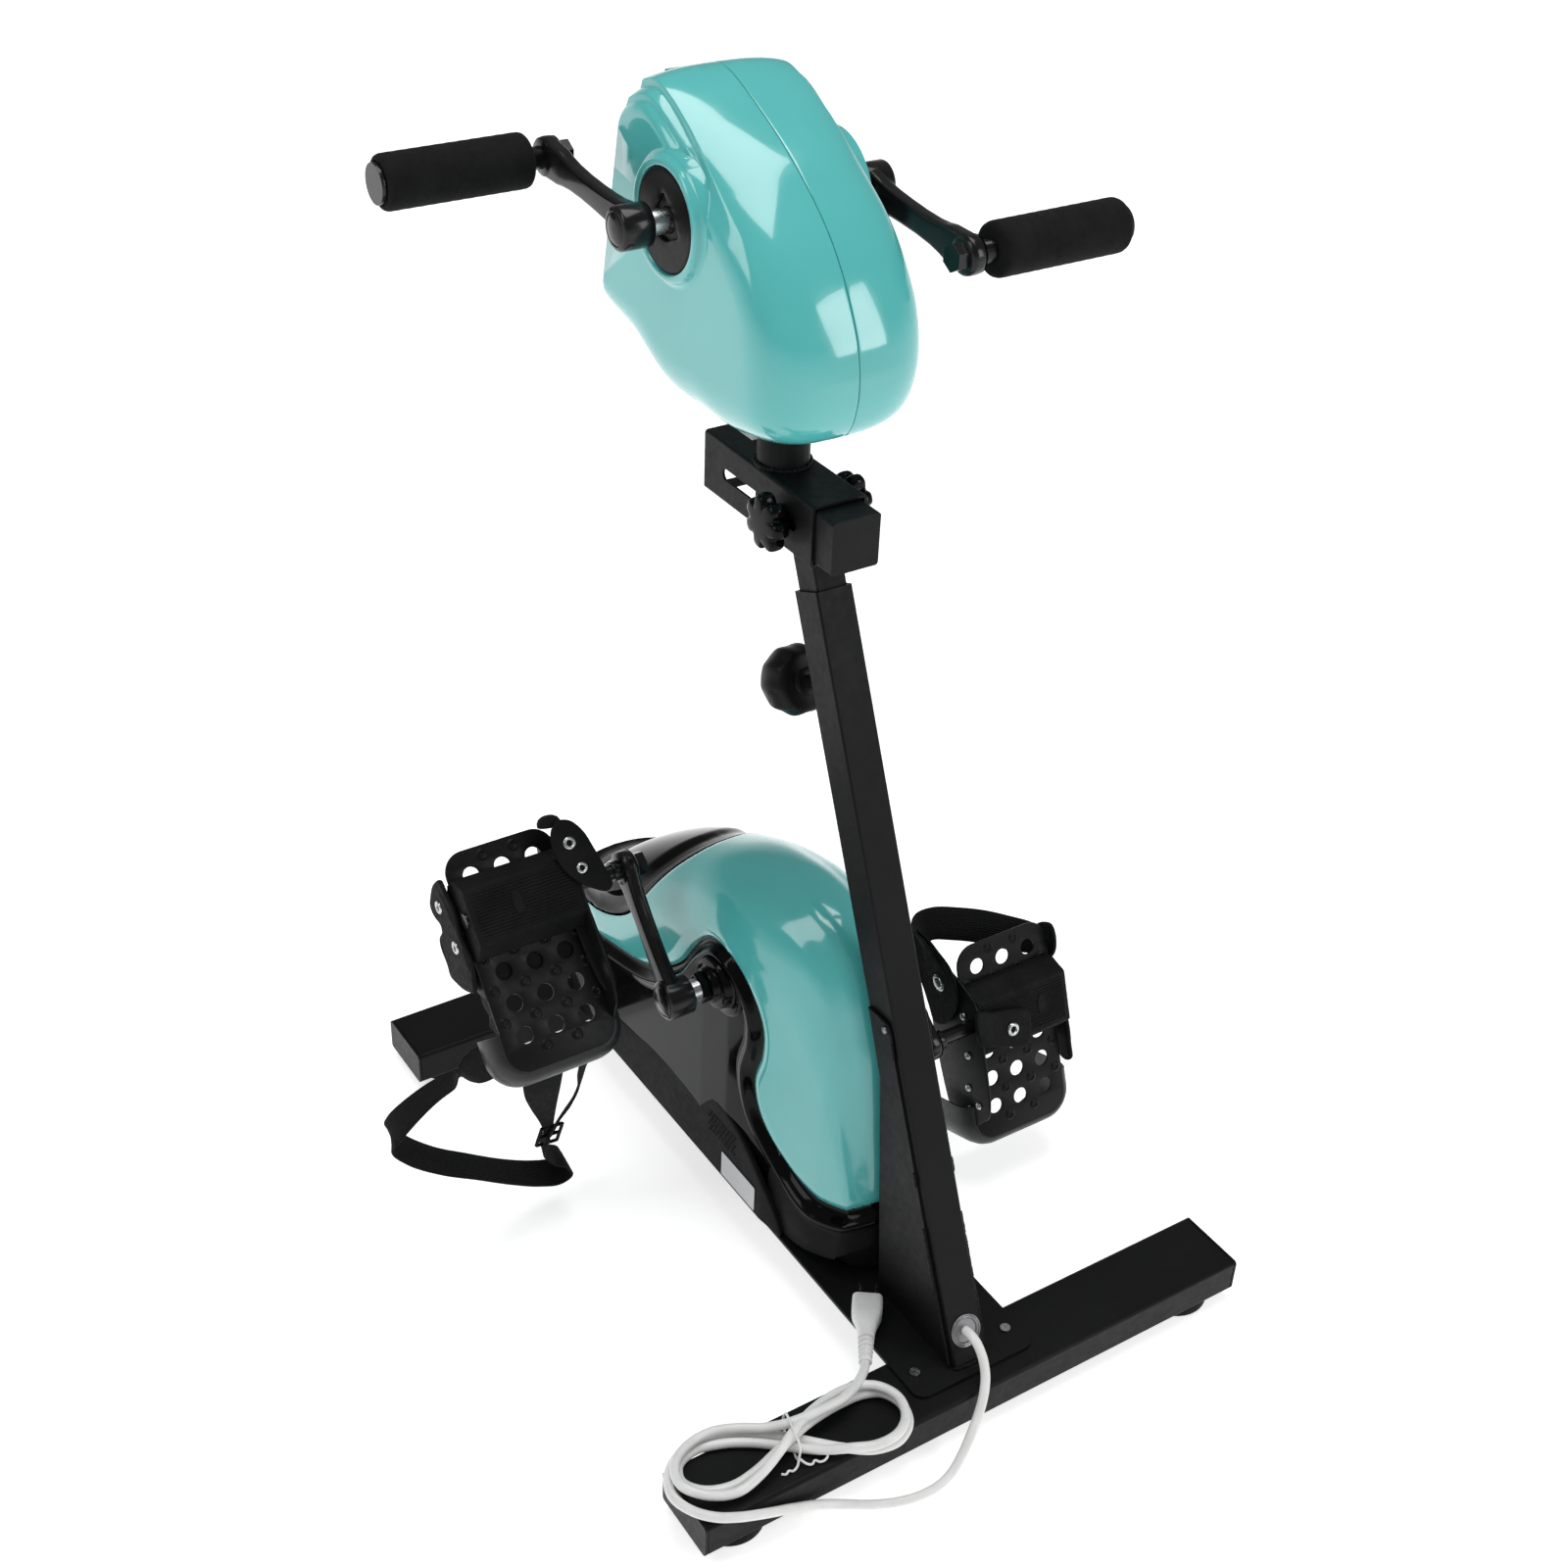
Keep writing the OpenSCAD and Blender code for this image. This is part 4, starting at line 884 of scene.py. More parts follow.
def black_sides():
    """Gloss side covers: a valley under the cowl, a rib, and a flatter panel; returns the matte chin below them."""
    along = spline(EDGE, 420)
    tangent = unit(np.gradient(along, axis=0))
    below = np.stack([tangent[:, 1], -tangent[:, 0]], 1)
    keep = (along[:, 0] > 106) & (along[:, 0] < 566)
    rib = [(-3, 9.0), (0, 9.0), (2, 8.9), (4, 8.4), (5.5, 7.2), (7, 5.0), (8.2, 2.8), (9.2, 1.3), (10.2, 0.4),
           (11.4, 0.0), (12.6, 0.2), (13.8, 1.0), (15, 2.2), (16.4, 3.4), (18, 4.4), (20, 5.0), (23, 5.4), (26, 5.6)]
    rows = []
    for off, depth in rib:
        y, z = (along + below * off).T
        rows.append((np.stack([hull(y, z) + flare(y, z), y, z], 1) - hull_normal(y, z) * depth)[keep])
    cols = int(keep.sum())
    strip, strip_f = np.concatenate(rows), quads(len(rib), cols, False)
    strip_f = [[q[0], q[3], q[2], q[1]] for q in strip_f]
    low = beside(SKIRT, strip[:, 1], strip[:, 2])
    row = np.repeat(np.arange(len(rib)), cols)
    outer = rib.index((16.4, 3.4))
    gloss = clipped(strip, strip_f, np.minimum(low, np.where(row <= outer, 1.0, strip[:, 1] - CHIN_Y)))
    chin = clipped(strip, strip_f, np.minimum(low, np.where(row >= outer, CHIN_Y - strip[:, 1], -1.0)))
    inside = np.minimum(-ABOVE_EDGE - 22, beside(SKIRT, GRID_V[:, 1], GRID_V[:, 2]))
    panels = []
    for part in (GRID_V[:, 1] - CHIN_Y, CHIN_Y - GRID_V[:, 1]):
        v, f = clipped(GRID_V, GRID_F, np.minimum(inside, part))
        panels.append((pressed(v + np.outer(flare(v[:, 1], v[:, 2]), X), 5.3), f))
    for name, side in (("left", -1), ("right", 1)):
        mirrored(Shape(), [gloss, panels[0]], [side]).make(
            "side_cover_" + name, GLOSS, "base", ("side_cover_" + name,), "black_gloss", 60)
    return [chin, panels[1]]


def base_cover(chin):
    """Two matte cheeks with an arched top edge, the chin, and the plain front of the housing behind it."""
    v, f = clipped(GRID_V, GRID_F, np.minimum(-ABOVE_EDGE + 3, 236 - GRID_V[:, 1]))
    v = pressed(v, 10.0)
    v[:, 2] = np.maximum(v[:, 2], BASE_Z)
    ys, zs = spline(ARCH, 160).T
    wide = np.interp(ys, [179, 205, 470, 530, 565, 578], [54.5, CHEEK_X, CHEEK_X, 53, 41, 28])
    edge = [(0.0, 0), (0.12, 0), (0.3, 0.1), (0.5, 0.3), (0.7, 0.55), (0.85, 0.8), (0.95, 1.0), (0.985, 1.25),
            (1.0, 1.9), (1.003, 3.0), (0.99, 5.5)]
    cheek = np.concatenate([np.stack([wide - tuck, ys, BASE_Z + (zs - BASE_Z) * t], 1) for t, tuck in edge])
    cheek_f = quads(len(edge), len(ys), False)
    mirrored(Shape(), [(cheek, cheek_f), (v, f)] + chin).make(
        "base_cover", COVER, "base", ("base_cover",), "base_matte", 60)


cowl()
top_cap()
base_cover(black_sides())


# ---------------------------------------------------------------- post details

LEAN = math.radians(23.1)
POST_AXIS = np.array([0, math.sin(LEAN), math.cos(LEAN)])
POST_FRONT = np.array([0, -math.cos(LEAN), math.sin(LEAN)])
GROMMET_T, FRONT_FACE, KNOB_T = 21.5, 15, 526


def on_post(t, front=0.0):
    """A point t mm up the post from the base plate."""
    return np.array([0, 10.3, 43.0]) + t * POST_AXIS + front * POST_FRONT


def turned(name, profile, at, axis, n, mat, body, slot, replaces=(), angle=50):
    """One turned piece on its own."""
    s = Shape()
    s.turn(profile, at, axis, n)
    return s.make(name, mat, body, replaces, slot, angle)


turned("grommet_ring", [(9.3, -4.0), (9.4, -0.8), (9.6, 0.2), (10.2, 0.75), (10.8, 0.8), (11.3, 0.55), (11.8, 0.8),
                        (12.3, 1.25), (12.8, 1.3), (13.2, 1.0), (13.4, 0.4), (13.4, -0.2)],
       on_post(GROMMET_T, FRONT_FACE), POST_FRONT, 64, DARK_STEEL, "base", "bright_steel", ("grommet",))
# the rubber bush across the grommet's hole round the cord; its flat dark disc is also painted shade for the dark inside
# of the post
turned("grommet_bush", [(9.5, -4.2), (9.3, -3.6), (0.01, -3.6)], on_post(GROMMET_T, FRONT_FACE), POST_FRONT, 40,
       RUBBER, "base", "black_rubber")


def weld(path, radius, name, body, step=2.2, seed=1):
    """A weld bead: overlapping ripples along a path."""
    rng = np.random.default_rng(seed)
    length = lengths(np.asarray(path, float))[-1]
    p = spline(path, max(8, int(length / 0.55)))
    phase = np.mod(np.linspace(0, length, len(p)) / step, 1)
    r = radius * (0.80 + 0.26 * np.sin(math.pi * phase) + 0.06 * rng.standard_normal(len(p)))
    p = p + 0.12 * radius * rng.standard_normal(p.shape)
    Shape().grid(tube(p, r, 8), True, (True, True)).make(name, POWDER, body, (), "frame_black", angle=70)


for k, x in ((1, -17.2), (2, 17.2)):
    weld([(x, -0.6, 43.6), (x, 22, 96.5), (x, 45.5, 150)], 1.3, f"weld_gusset_low_{k}", "base", seed=k)
    weld([(x, 58.5, 181), (x, 63, 191.5)], 1.2, f"weld_gusset_mid_{k}", "base", seed=k + 3)
    weld([(x, 98.3, 275), (x, 108.7, 299.4), (x, 120, 300.6), (x, 133, 300.2)], 1.1, f"weld_gusset_top_{k}", "base",
         seed=k + 5)
weld([(-15.5, -5.2, 43.6), (0, -6.4, 43.6), (15.5, -5.2, 43.6)], 1.7, "weld_post_foot", "base", seed=9)
weld([(19.6 * math.cos(a), 302 + 19.6 * math.sin(a), 667.0) for a in circle(60, ends=True)], 2.1, "weld_stub",
     "carriage", step=3.0, seed=4)
s = Shape()
for x in (-17.6, 17.6):
    s.turn([(0.01, 2.2), (1.6, 2.1), (2.7, 1.5), (3.1, 0.6), (3.1, -0.4)], (x, 111, 295), (np.sign(x), 0, 0), 24)
s.make("gusset_screws", DARK_STEEL, "base", (), "frame_black")


# ---------------------------------------------------------------- knobs

def fluted(shape, profile, at, axis, n, flutes, power, depth, caps):
    """A turned grip with flutes round it; depth(radius, height) is their share of the radius."""
    u, v, w = basis(axis)
    a = circle(n)
    rows = []
    for r, h in profile:
        k = r * (1 - depth(r, h) * (0.5 - 0.5 * np.cos(flutes * a)) ** power)
        rows.append(laid(at, np.stack([k * np.cos(a), k * np.sin(a)], 1), u, v) + h * w)
    shape.grid(rows, True, caps)


s = Shape()
s.turn([(0.01, 12.8), (5, 12.8), (5, 44), (9.5, 44.4), (10.5, 45.5)], on_post(KNOB_T), -POST_FRONT, 32)
fluted(s, [(10.5, 45.4), (16.5, 45.2), (20.0, 45.6), (22.3, 46.8), (24.0, 49.0), (25.4, 52.5), (26.4, 56), (26.9, 60),
           (26.8, 64), (26.0, 68), (24.5, 71.4), (22.2, 74.6), (19.2, 77.2), (15.4, 79.2), (11.0, 80.4), (6, 81.0),
           (0.01, 81.2)], on_post(KNOB_T), -POST_FRONT, 192, 10, 0.8,
       lambda r, h: 0.055 * smooth((h - 46) / 4) * (1 - smooth((h - 68) / 7)), (False, True))
s.make("height_knob_grip", MATTE, "height_clamp", ("height_knob",), "black_matte", angle=60)

SIDES = (("left", -1), ("right", 1))
for name, side in SIDES:
    at, axis = np.array([0, 266.0, 643.0]), X * side
    s = Shape()
    s.turn([(4, 7), (4, 26)], at, axis, 24)
    s.turn([(9.0, 22.4), (10, 23.2), (10.4, 26), (11.5, 29.4)], at, axis, 40)
    fluted(s, [(9, 29), (17, 28.9), (18.9, 29.3), (20.2, 30.4), (20.9, 32.2), (21.1, 35), (20.9, 37.6), (20.2, 39.4),
               (18.8, 40.6), (16.2, 41.3), (13.2, 41.7), (10.4, 42.0), (6, 42.2), (0.01, 42.3)], at, axis, 224, 7, 1.9,
           lambda r, h: 0.25 * smooth((r - 9) / 9), (True, True))
    s.make("star_knob_" + name, GLOSS, "clamp_" + name, ("clamp_knob_" + name,), "black_gloss", angle=60)


# ---------------------------------------------------------------- hubs, arms and grips

def hub_disc(shape, side):
    """A hub disc with a three-lobed hole; the right one sits lower, like its ring."""
    a = circle(180)
    lobes = 13.2 + 4.6 * np.exp(-((np.mod(a - math.radians(80) + math.pi / 3, TURN / 3) - math.pi / 3) / 0.30) ** 2)
    rings = [(34.9 + 0 * a, 66.0), (34.9 + 0 * a, 69.0), (34.5 + 0 * a, 69.6), (33.6 + 0 * a, 70.0),
             (31.5 + 0 * a, 70.1)]
    rings += [(lobes + extra, x) for extra, x in ((6, 70.1), (1.4, 70.1), (0.8, 69.9), (0.3, 69.4), (0, 68.4),
                                                  (-0.1, 67.2), (-0.8, 66.8))]
    rings.append((9.2 + 0 * a, 66.8))
    sink = 0.0 if side < 0 else 3.4
    shape.grid([np.stack([side * (x - sink) + 0 * a, HUB[0] + r * np.cos(a), HUB[1] + r * np.sin(a)], 1)
                for r, x in rings], True)


s = Shape()
for name, side in SIDES:
    hub_disc(s, side)
s.make("hub_covers", MATTE, "carriage", ("hub_discs",), "black_gloss", angle=45)

# axle centre (Y, Z), arm length and angle of each crank
HAND, LEG = (349, 835, 120, 5.2), (276.5, 241, 108, 47)


def spindle_at(crank, side):
    y, z, length, angle = crank
    a = math.radians(angle if side < 0 else angle + 180)
    return np.array([0, y + length * math.cos(a), z + length * math.sin(a)])


def arm(shape, side, crank, boss_x, eye_x, boss_r):
    """One forged crank arm: a waisted bar between the boss on the axle and the eye of the spindle."""
    y, z, length, angle = crank
    a = math.radians(angle)
    axis = X * side
    at, eye = np.array([0, y, z]), spindle_at(crank, side)
    u = np.array([0, math.cos(a), math.sin(a)]) * -side
    v = np.array([0, -u[2], u[1]])
    half = [(0, 13.4), (6, 13.3), (12, 12.2), (20, 10.6), (32, 9.4), (48, 8.7), (66, 8.5), (82, 9.2), (92, 10.6),
            (100, 12.4),
            (length - 4, 13.6), (length, 13.8)]
    k = np.linspace(0, length, 50)
    top = np.stack([k, np.interp(k, *zip(*half))], 1)
    t = circle(22, math.pi / 2, -math.pi / 2, True)[1:-1]
    end = np.stack([length + 13.8 * np.cos(t), 13.8 * np.sin(t)], 1)
    start = -13.4 * np.stack([np.cos(t), np.sin(t)], 1)
    outline = np.concatenate([top, end, top[::-1] * (1, -1), start])
    slab(shape, outline, at, u, v, axis, eye_x + 0.4, eye_x + 11.6, 3.4, 5)
    b, r = boss_x, boss_r
    shape.turn([(8.7, b - 24), (13.6, b - 24), (14.6, b - 23.6), (r, b - 22.6), (r, b - 3.4), (r - 0.5, b - 2.2),
                (r - 1.8, b - 1.2), (r - 3.4, b - 0.9), (r - 3.8, b - 1.4), (r - 4.4, b - 1.1), (r - 6, b - 0.2),
                (5, b + 0.6), (0.01, b + 0.9)], at, axis, 64)
    shape.turn([(6.2, eye_x - 0.6), (11.6, eye_x - 0.6), (12.6, eye_x), (13.4, eye_x + 1.0)], eye, axis, 48)
    shape.turn([(13.2, eye_x + 11.2), (12.2, eye_x + 12.2), (6.2, eye_x + 12.6)], eye, axis, 48)


for name, body, node, crank, sizes in (("hand_crank_arms", "hand_crank", "hand_arms", HAND, (108, 86, 15)),
                                       ("pedal_crank_arms", "pedal_crank", "leg_arms", LEG, (110, 94, 16))):
    s = Shape()
    for _, side in SIDES:
        arm(s, side, crank, *sizes)
    s.make(name, FORGED, body, (node,), "forged_black", angle=42)

nut = [(12.6 * math.cos(a), 12.6 * math.sin(a)) for a in circle(6)]
nut = np.concatenate([np.linspace(p, q, 6, endpoint=False) for p, q in zip(nut, nut[1:] + nut[:1])])
for name, side in SIDES:
    at, axis = spindle_at(HAND, side), X * side
    foam_profile = [(8.4, 110.2), (14.5, 110.0), (17.0, 110.5), (18.3, 111.7), (18.9, 113.6), (19.0, 116)]
    foam_profile += [(19.0 + 0.08 * math.sin(h * 0.7), h) for h in np.linspace(118, 211, 48)]
    foam_profile += [(19.0, 213), (18.9, 214.6), (18.2, 216.4), (16.9, 217.5), (15.2, 218.0), (14.6, 217.6),
                     (14.3, 216.9), (13.9, 216.7)]
    turned("hand_grip_foam_" + name, foam_profile, at, axis, 72, FOAM, "hand_grip_" + name, "foam_black",
           ("grip_" + name,))
    turned("hand_grip_cap_" + name, [(14.1, 216.4), (13.9, 217.3), (13.3, 217.9), (11, 218.3), (6, 218.6),
                                     (0.01, 218.7)],
           at, axis, 56, RUBBER, "hand_grip_" + name, "black_rubber")
    at = (0, *LEG[:2])
    s = Shape()
    s.turn([(31, 55.2), (30.2, 56.4), (28, 57.1), (24.5, 57.4), (22.6, 58.4), (21.8, 60.5), (21.4, 63.4), (20.6, 64.6),
            (18.5, 65.2), (15.6, 65.4), (14.8, 66.2), (14.4, 69.6), (13.6, 70.4), (8.7, 70.6)], at, axis, 72)
    slab(s, nut, at, Y, Z, axis, 70.4, 77.4, 1.0, 3)
    s.make("hub_seat_" + name, GLOSS, "base", (), "black_gloss", angle=40)


# ---------------------------------------------------------------- pedals

TOE, HEEL, HALF = -52.0, 124.0, 46.0
HOLES = [(x, -31.8 + 25.6 * k) for k in range(6) for x in (-26.3, 0, 26.3)]
DIMPLES = [(x, -44.4 + 25.6 * k) for k in range(7) for x in (-39.4, -13.1, 13.1, 39.4)
           if abs(x) < 30 or 0 < k < 6]


def rot_x(deg):
    c, s = math.cos(math.radians(deg)), math.sin(math.radians(deg))
    return np.array([[1, 0, 0], [0, c, -s], [0, s, c]])


def pedal_frame(side):
    """Origin and axes of a pedal: X across, Y towards the heel, Z towards the foot."""
    return spindle_at(LEG, side) + X * 191 * side, rot_x(-90 - (41 if side < 0 else 20))


def pedal_piece(shape, piece, name, side, mat, slot, angle, node=None):
    """A shape drawn in a pedal's own frame, placed on its spindle; node is the CAD node that it replaces."""
    at, m = pedal_frame(side)
    shape.v = [p @ m.T + at for p in shape.v]
    shape.make(f"{piece}_{name}", mat, "pedal_" + name, (f"{node}_{name}",) if node else (), slot, angle)


def plate_mesh(shift):
    """A pressed plate with round holes, as a filled flat curve with rounded edges."""
    data = bpy.data.curves.new("plate", "CURVE")
    data.dimensions = "2D"
    data.fill_mode = "BOTH"
    data.extrude = 0.0005
    data.bevel_depth = 0.0005
    data.bevel_resolution = 2
    outline = round_rect(2 * HALF - 1, HEEL - TOE - 1, 17, 12) + (0, (TOE + HEEL) / 2)
    a = circle(36)
    holes = [np.stack([x + 7.2 * np.cos(a), y + 7.2 * np.sin(a)], 1) for x, y in HOLES]
    for ring in [outline] + holes:
        s = data.splines.new("POLY")
        s.points.add(len(ring) - 1)
        s.points.foreach_set("co", [c for x, y in ring for c in (x / 1000, (y + shift) / 1000, 0, 1)])
        s.use_cyclic_u = True
    ob = bpy.data.objects.new("plate", data)
    bpy.context.scene.collection.objects.link(ob)
    filled = ob.evaluated_get(bpy.context.evaluated_depsgraph_get())
    me = filled.to_mesh()
    v = np.array([p.co for p in me.vertices]) * 1000 + (0, 0, 12.0)
    f = [list(p.vertices) for p in me.polygons]
    filled.to_mesh_clear()
    bpy.data.objects.remove(ob)
    bpy.data.curves.remove(data)
    return v, f


def heel_line(n, inner):
    """The plate's outline round the heel end, from one side to the other."""
    r = 17
    pts = [(-HALF + inner, HEEL - 2 * r), (-HALF + inner, HEEL - r)]
    for k in range(13):
        a = math.radians(180 - 90 * k / 12)
        pts.append((-HALF + r + (r - inner) * math.cos(a), HEEL - r + (r - inner) * math.sin(a)))
    p = np.array(pts + [(-x, y) for x, y in pts[::-1]])
    s = lengths(p)
    t = np.linspace(0, s[-1], n)
    return np.stack([np.interp(t, s, p[:, 0]), np.interp(t, s, p[:, 1])], 1)


def sweep_section(shape, line, section):
    """A closed section of (outwards, up) pairs carried round a line in the plate's plane."""
    t = unit(np.gradient(line, axis=0))
    shape.grid([[(x - ty * out, y + tx * out, up) for out, up in section] for (x, y), (tx, ty) in zip(line, t)],
               True, (True, True))


def eyelet(shape, at, axis, r=5.4):
    shape.turn([(r * 0.45, -0.6), (r * 0.46, 0.9), (r * 0.55, 1.35), (r * 0.72, 1.5), (r * 0.9, 1.2), (r, 0.5),
                (r, -0.3)],
               at, axis, 32)


def rivet(shape, at, axis, r, h=1.8, socket=True):
    prof = [(r, -0.4), (r, h * 0.35), (r * 0.94, h * 0.7), (r * 0.8, h * 0.95), (r * 0.62, h)]
    prof += [(r * 0.46, h), (r * 0.42, h * 0.5), (0.01, h * 0.45)] if socket else [(r * 0.3, h * 1.08), (0.01, h * 1.1)]
    shape.turn(prof, at, axis, 28)


def leather(shape, outline, at, u, v, w, thick, lift=None):
    """A thick soft tab: an outline smoothed, its edge rounded over, and its face lifted unevenly."""
    q = spline(outline, 90, closed=True)
    rows = []
    for d, h in ((3.2, 0.0), (1.4, 0.02), (0.45, 0.12), (0.0, 0.42), (0.0, 0.62), (0.4, 0.88), (1.3, 0.98), (3.2, 1.0)):
        p = inset(q, d)
        z = h * thick + (np.array([lift(a, b) for a, b in p]) if lift else np.zeros(len(p)))
        rows.append(laid(at, p, u, v) + np.outer(z, w))
    shape.grid(rows, True, (True, True))


def footplate(name, side, shift):
    """The pressed plate with its holes, dimples and one side rim, and the satin lip round its heel."""
    s = Shape()
    s.add(*plate_mesh(shift))
    for x, y in DIMPLES:
        for face, z in ((-1, 11.05), (1, 12.95)):
            s.turn([(5.2, -0.1), (4.3, 0.35), (3.5, 0.85), (2.8, 0.9), (2.1, 0.35), (1.2, -0.3), (0.01, -0.5)],
                   (x, y + shift, z), (0, 0, face), 22)
    rows = []
    for y in np.linspace(-30, 62, 30):
        t = (y + 30) / 92
        h = 15.0 * smooth(min(t, 1 - t) * 9)
        rows.append([(side * (HALF + out), y + shift, z) for out, z in
                     ((-1.0, 11.2), (0.6, 11.0), (1.0, 12.5), (1.0, 12 + h), (0.2, 12.9 + h), (-0.8, 12.6 + h),
                      (-1.0, 13))])
    s.grid(rows, True, (True, True))
    pedal_piece(s, "footplate_pressed", name, side, MATTE, "black_matte", 38, "footplate")
    s = Shape()
    top = 38.0 if side < 0 else 64.0
    sweep_section(s, heel_line(84, 0.6) + (0, shift),
                  [(-0.6, 12.2), (1.2, 11.9), (4, 13.2), (7.4, 16.6), (9.6, 22), (10.6, 29), (10.8, top - 1),
                   (10.2, top + 0.2), (9.2, top - 0.4), (8.9, 29), (7.9, 23), (5.8, 18.4), (3.0, 15.6), (-0.6, 14.2)])
    pedal_piece(s, "heel_lip", name, side, SATIN, "black_matte", 50)


def tread(name, side, ribs=15):
    """The ribbed block on the spindle, with a blank oval badge."""
    s = Shape()
    half = [(-8, -11), (-20.5, -11), (-22, -10.7), (-23, -9.5), (-27, -3), (-31, 3.0), (-32, 5), (-32, 8), (-32, 11),
            (-16, 11)]
    outline = half[8::-1] + [(-y, z) for y, z in half]
    slab(s, spline(outline + [half[9]], 160, closed=True), (0, 0, 0), Y, Z, X, -45.5, 45.5, 0.8, 2)
    for y in np.linspace(-17.5, 17.5, ribs):
        s.grid([[(x, y - 0.95, -11.0), (x, y - 0.55, -11.0 - d), (x, y + 0.55, -11.0 - d), (x, y + 0.95, -11.0)]
                for x, d in ((-41.5, 0), (-41.0, 0.62), (41.0, 0.62), (41.5, 0))])
    a = circle(40)
    middle = -6 if side < 0 else 18
    s.grid([np.stack([middle + 4.6 * k * np.cos(a), -1 + 9.6 * k * np.sin(a), h + 0 * a], 1) for k, h in
            ((1, -10.9), (1, -11.9), (0.94, -12.15), (0.86, -12.1), (0.8, -11.85), (0.3, -11.9))], True, (False, True))
    pedal_piece(s, "pedal_tread", name, side, RUBBER, "black_rubber", 30, "pedal_block")


def side_plate(name, side, shift):
    """The plate on the crank side, and the fixings in it and in the tabs."""
    outline = [(-44, 44), (-39, 36), (-32, 22), (-21, 4), (-12, -7), (-4, -11), (20, -12), (60, -12), (84, -10),
               (96, -5), (102, 4), (110, 14), (118, 20), (119, 32), (115, 43), (102, 49), (84, 53), (50, 57), (10, 58),
               (-10, 55), (-26, 51), (-37, 49)]
    s = Shape()
    slab(s, spline(outline, 120, closed=True), (0, shift, 0), Y, Z, -X * side, HALF - 1, HALF + 1.4, 0.7, 3)
    pedal_piece(s, "pedal_side", name, side, MATTE, "black_matte", 40)
    s = Shape()
    out = -X * side
    face = HALF + 1.4
    for y, z in ((5.5, 9.4), (41.5, 10), (73, 16), (93, 17), (86, 4)):
        rivet(s, (-side * face, y + shift, z), out, 3.3, 1.9)
    boss = (-side * (face + 3.6), -19.5 + shift, 34)
    rivet(s, boss, out, 5.4, 2.4, socket=False)
    s.turn([(7.6, -2.4), (7.6, 0.4), (7.0, 0.9), (5.3, 0.9)], boss, out, 36)
    if side < 0:
        for y, z in ((-17, 31), (16.4, 24)):
            eyelet(s, (-HALF - 6.2, y, z), -X)
        eyelet(s, (46.5, -31, -16.4), -Z, 5.2)
        eyelet(s, (50, -10, -16.2), -Z, 4.6)
    else:
        eyelet(s, (-18, 7.7, -16.8), -Z, 5.8)
    pedal_piece(s, "pedal_rivets", name, side, STEEL, "bright_steel", 50, "pedal_screws")


def left_tabs(s):
    outer = [(-35, 12), (-35, 27), (-28, 40), (-20, 51), (-12, 52), (-4, 44), (1, 43), (5, 52), (14, 56), (26, 59),
             (35, 60), (43, 48), (51, 31), (53, 17), (40, 10), (12, 8), (-16, 9)]
    leather(s, outer, (-HALF - 2.0, 0, 0), Y, Z, -X, 3.8, lambda a, b: 0.02 * (b - 10) + 0.9 * math.sin(a * 0.16))
    inner = [(33, -34), (36, -44), (43, -50), (53, -48), (61, -38), (66, -22), (70, -4), (71, 9), (65, 13), (56, 9),
             (47, 2), (39, -8), (34, -20)]
    leather(s, inner, (0, 0, -12.2), X, Y, -Z, 4.0, lambda a, b: -0.10 * max(0, a - 52) + 0.5 * math.sin(b * 0.12))
    s.turn([(9.5, -0.5), (9.2, 2.4), (7.8, 4.8), (5.2, 6.4), (2.4, 7.1), (0.01, 7.3)], (41, -50, -3),
           (0, -0.94, -0.34), 36)
    sole = [(-43, 35), (-20, 33), (0, 34), (20, 33), (43, 35), (44, 47), (43, 58), (20, 60), (0, 58), (-20, 60),
            (-43, 58), (-44, 47)]
    leather(s, sole, (0, 0, 13.6), X, Y, Z, 3.0)
    low = [(38, 20), (44, 14), (52, 20), (55, 40), (56, 62), (55, 82), (50, 90), (44, 84), (40, 60), (38, 38)]
    leather(s, low, (0, 0, 2), X, Y, Z, 3.4, lambda a, b: 3 * math.sin((b - 20) * 0.04))


def right_tabs(s):
    tab = [(-50, -17), (-34, -13), (-14, -9), (-3, -5), (1.5, 0), (1, 12), (-1, 23), (-7, 28), (-20, 24), (-38, 17),
           (-50, 12)]
    leather(s, tab, (0, 0, -12.4), X, Y, -Z, 4.2, lambda a, b: 0.5 * math.sin(a * 0.11))
    flap = [(20, 2), (34, 0), (52, 2), (66, 4), (70, 12), (66, 20), (50, 23), (32, 22), (20, 18)]
    leather(s, flap, (HALF + 2.0, 0, 0), Y, Z, X, 3.6, lambda a, b: 0.06 * (a - 20))
    top = [(-58, 6), (-50, 2), (-36, 4), (-26, 12), (-24, 22), (-32, 30), (-46, 30), (-56, 22)]
    leather(s, top, (HALF + 1.4, 0, 0), Y, Z, X, 3.6, lambda a, b: 0.5 * math.sin(b * 0.2))
    ear = [(-70, 46), (-60, 30), (-50, 16), (-38, 10), (-22, 10), (-8, 18), (6, 34), (8, 50), (-6, 56), (-24, 62),
           (-40, 70), (-56, 76), (-68, 72), (-73, 60)]
    leather(s, ear, (-HALF - 2.9, 0, 0), Y, Z, -X, 2.2, lambda a, b: 0.3 * math.sin(a * 0.12))


for name, side, shift, tabs in (("left", -1, 0, left_tabs), ("right", 1, -12.5, right_tabs)):
    footplate(name, side, shift)
    tread(name, side)
    side_plate(name, side, shift)
    s = Shape()
    tabs(s)
    pedal_piece(s, "pedal_tabs", name, side, RUBBER, "black_rubber", 60)


# ---------------------------------------------------------------- foot straps

def band_section(quarter):
    """The closed section of a flat band, from its upper left quarter."""
    over = quarter + [(-x, y) for x, y in quarter[::-1] if x]
    return over + [(x, -y) for x, y in over[-2:0:-1]]


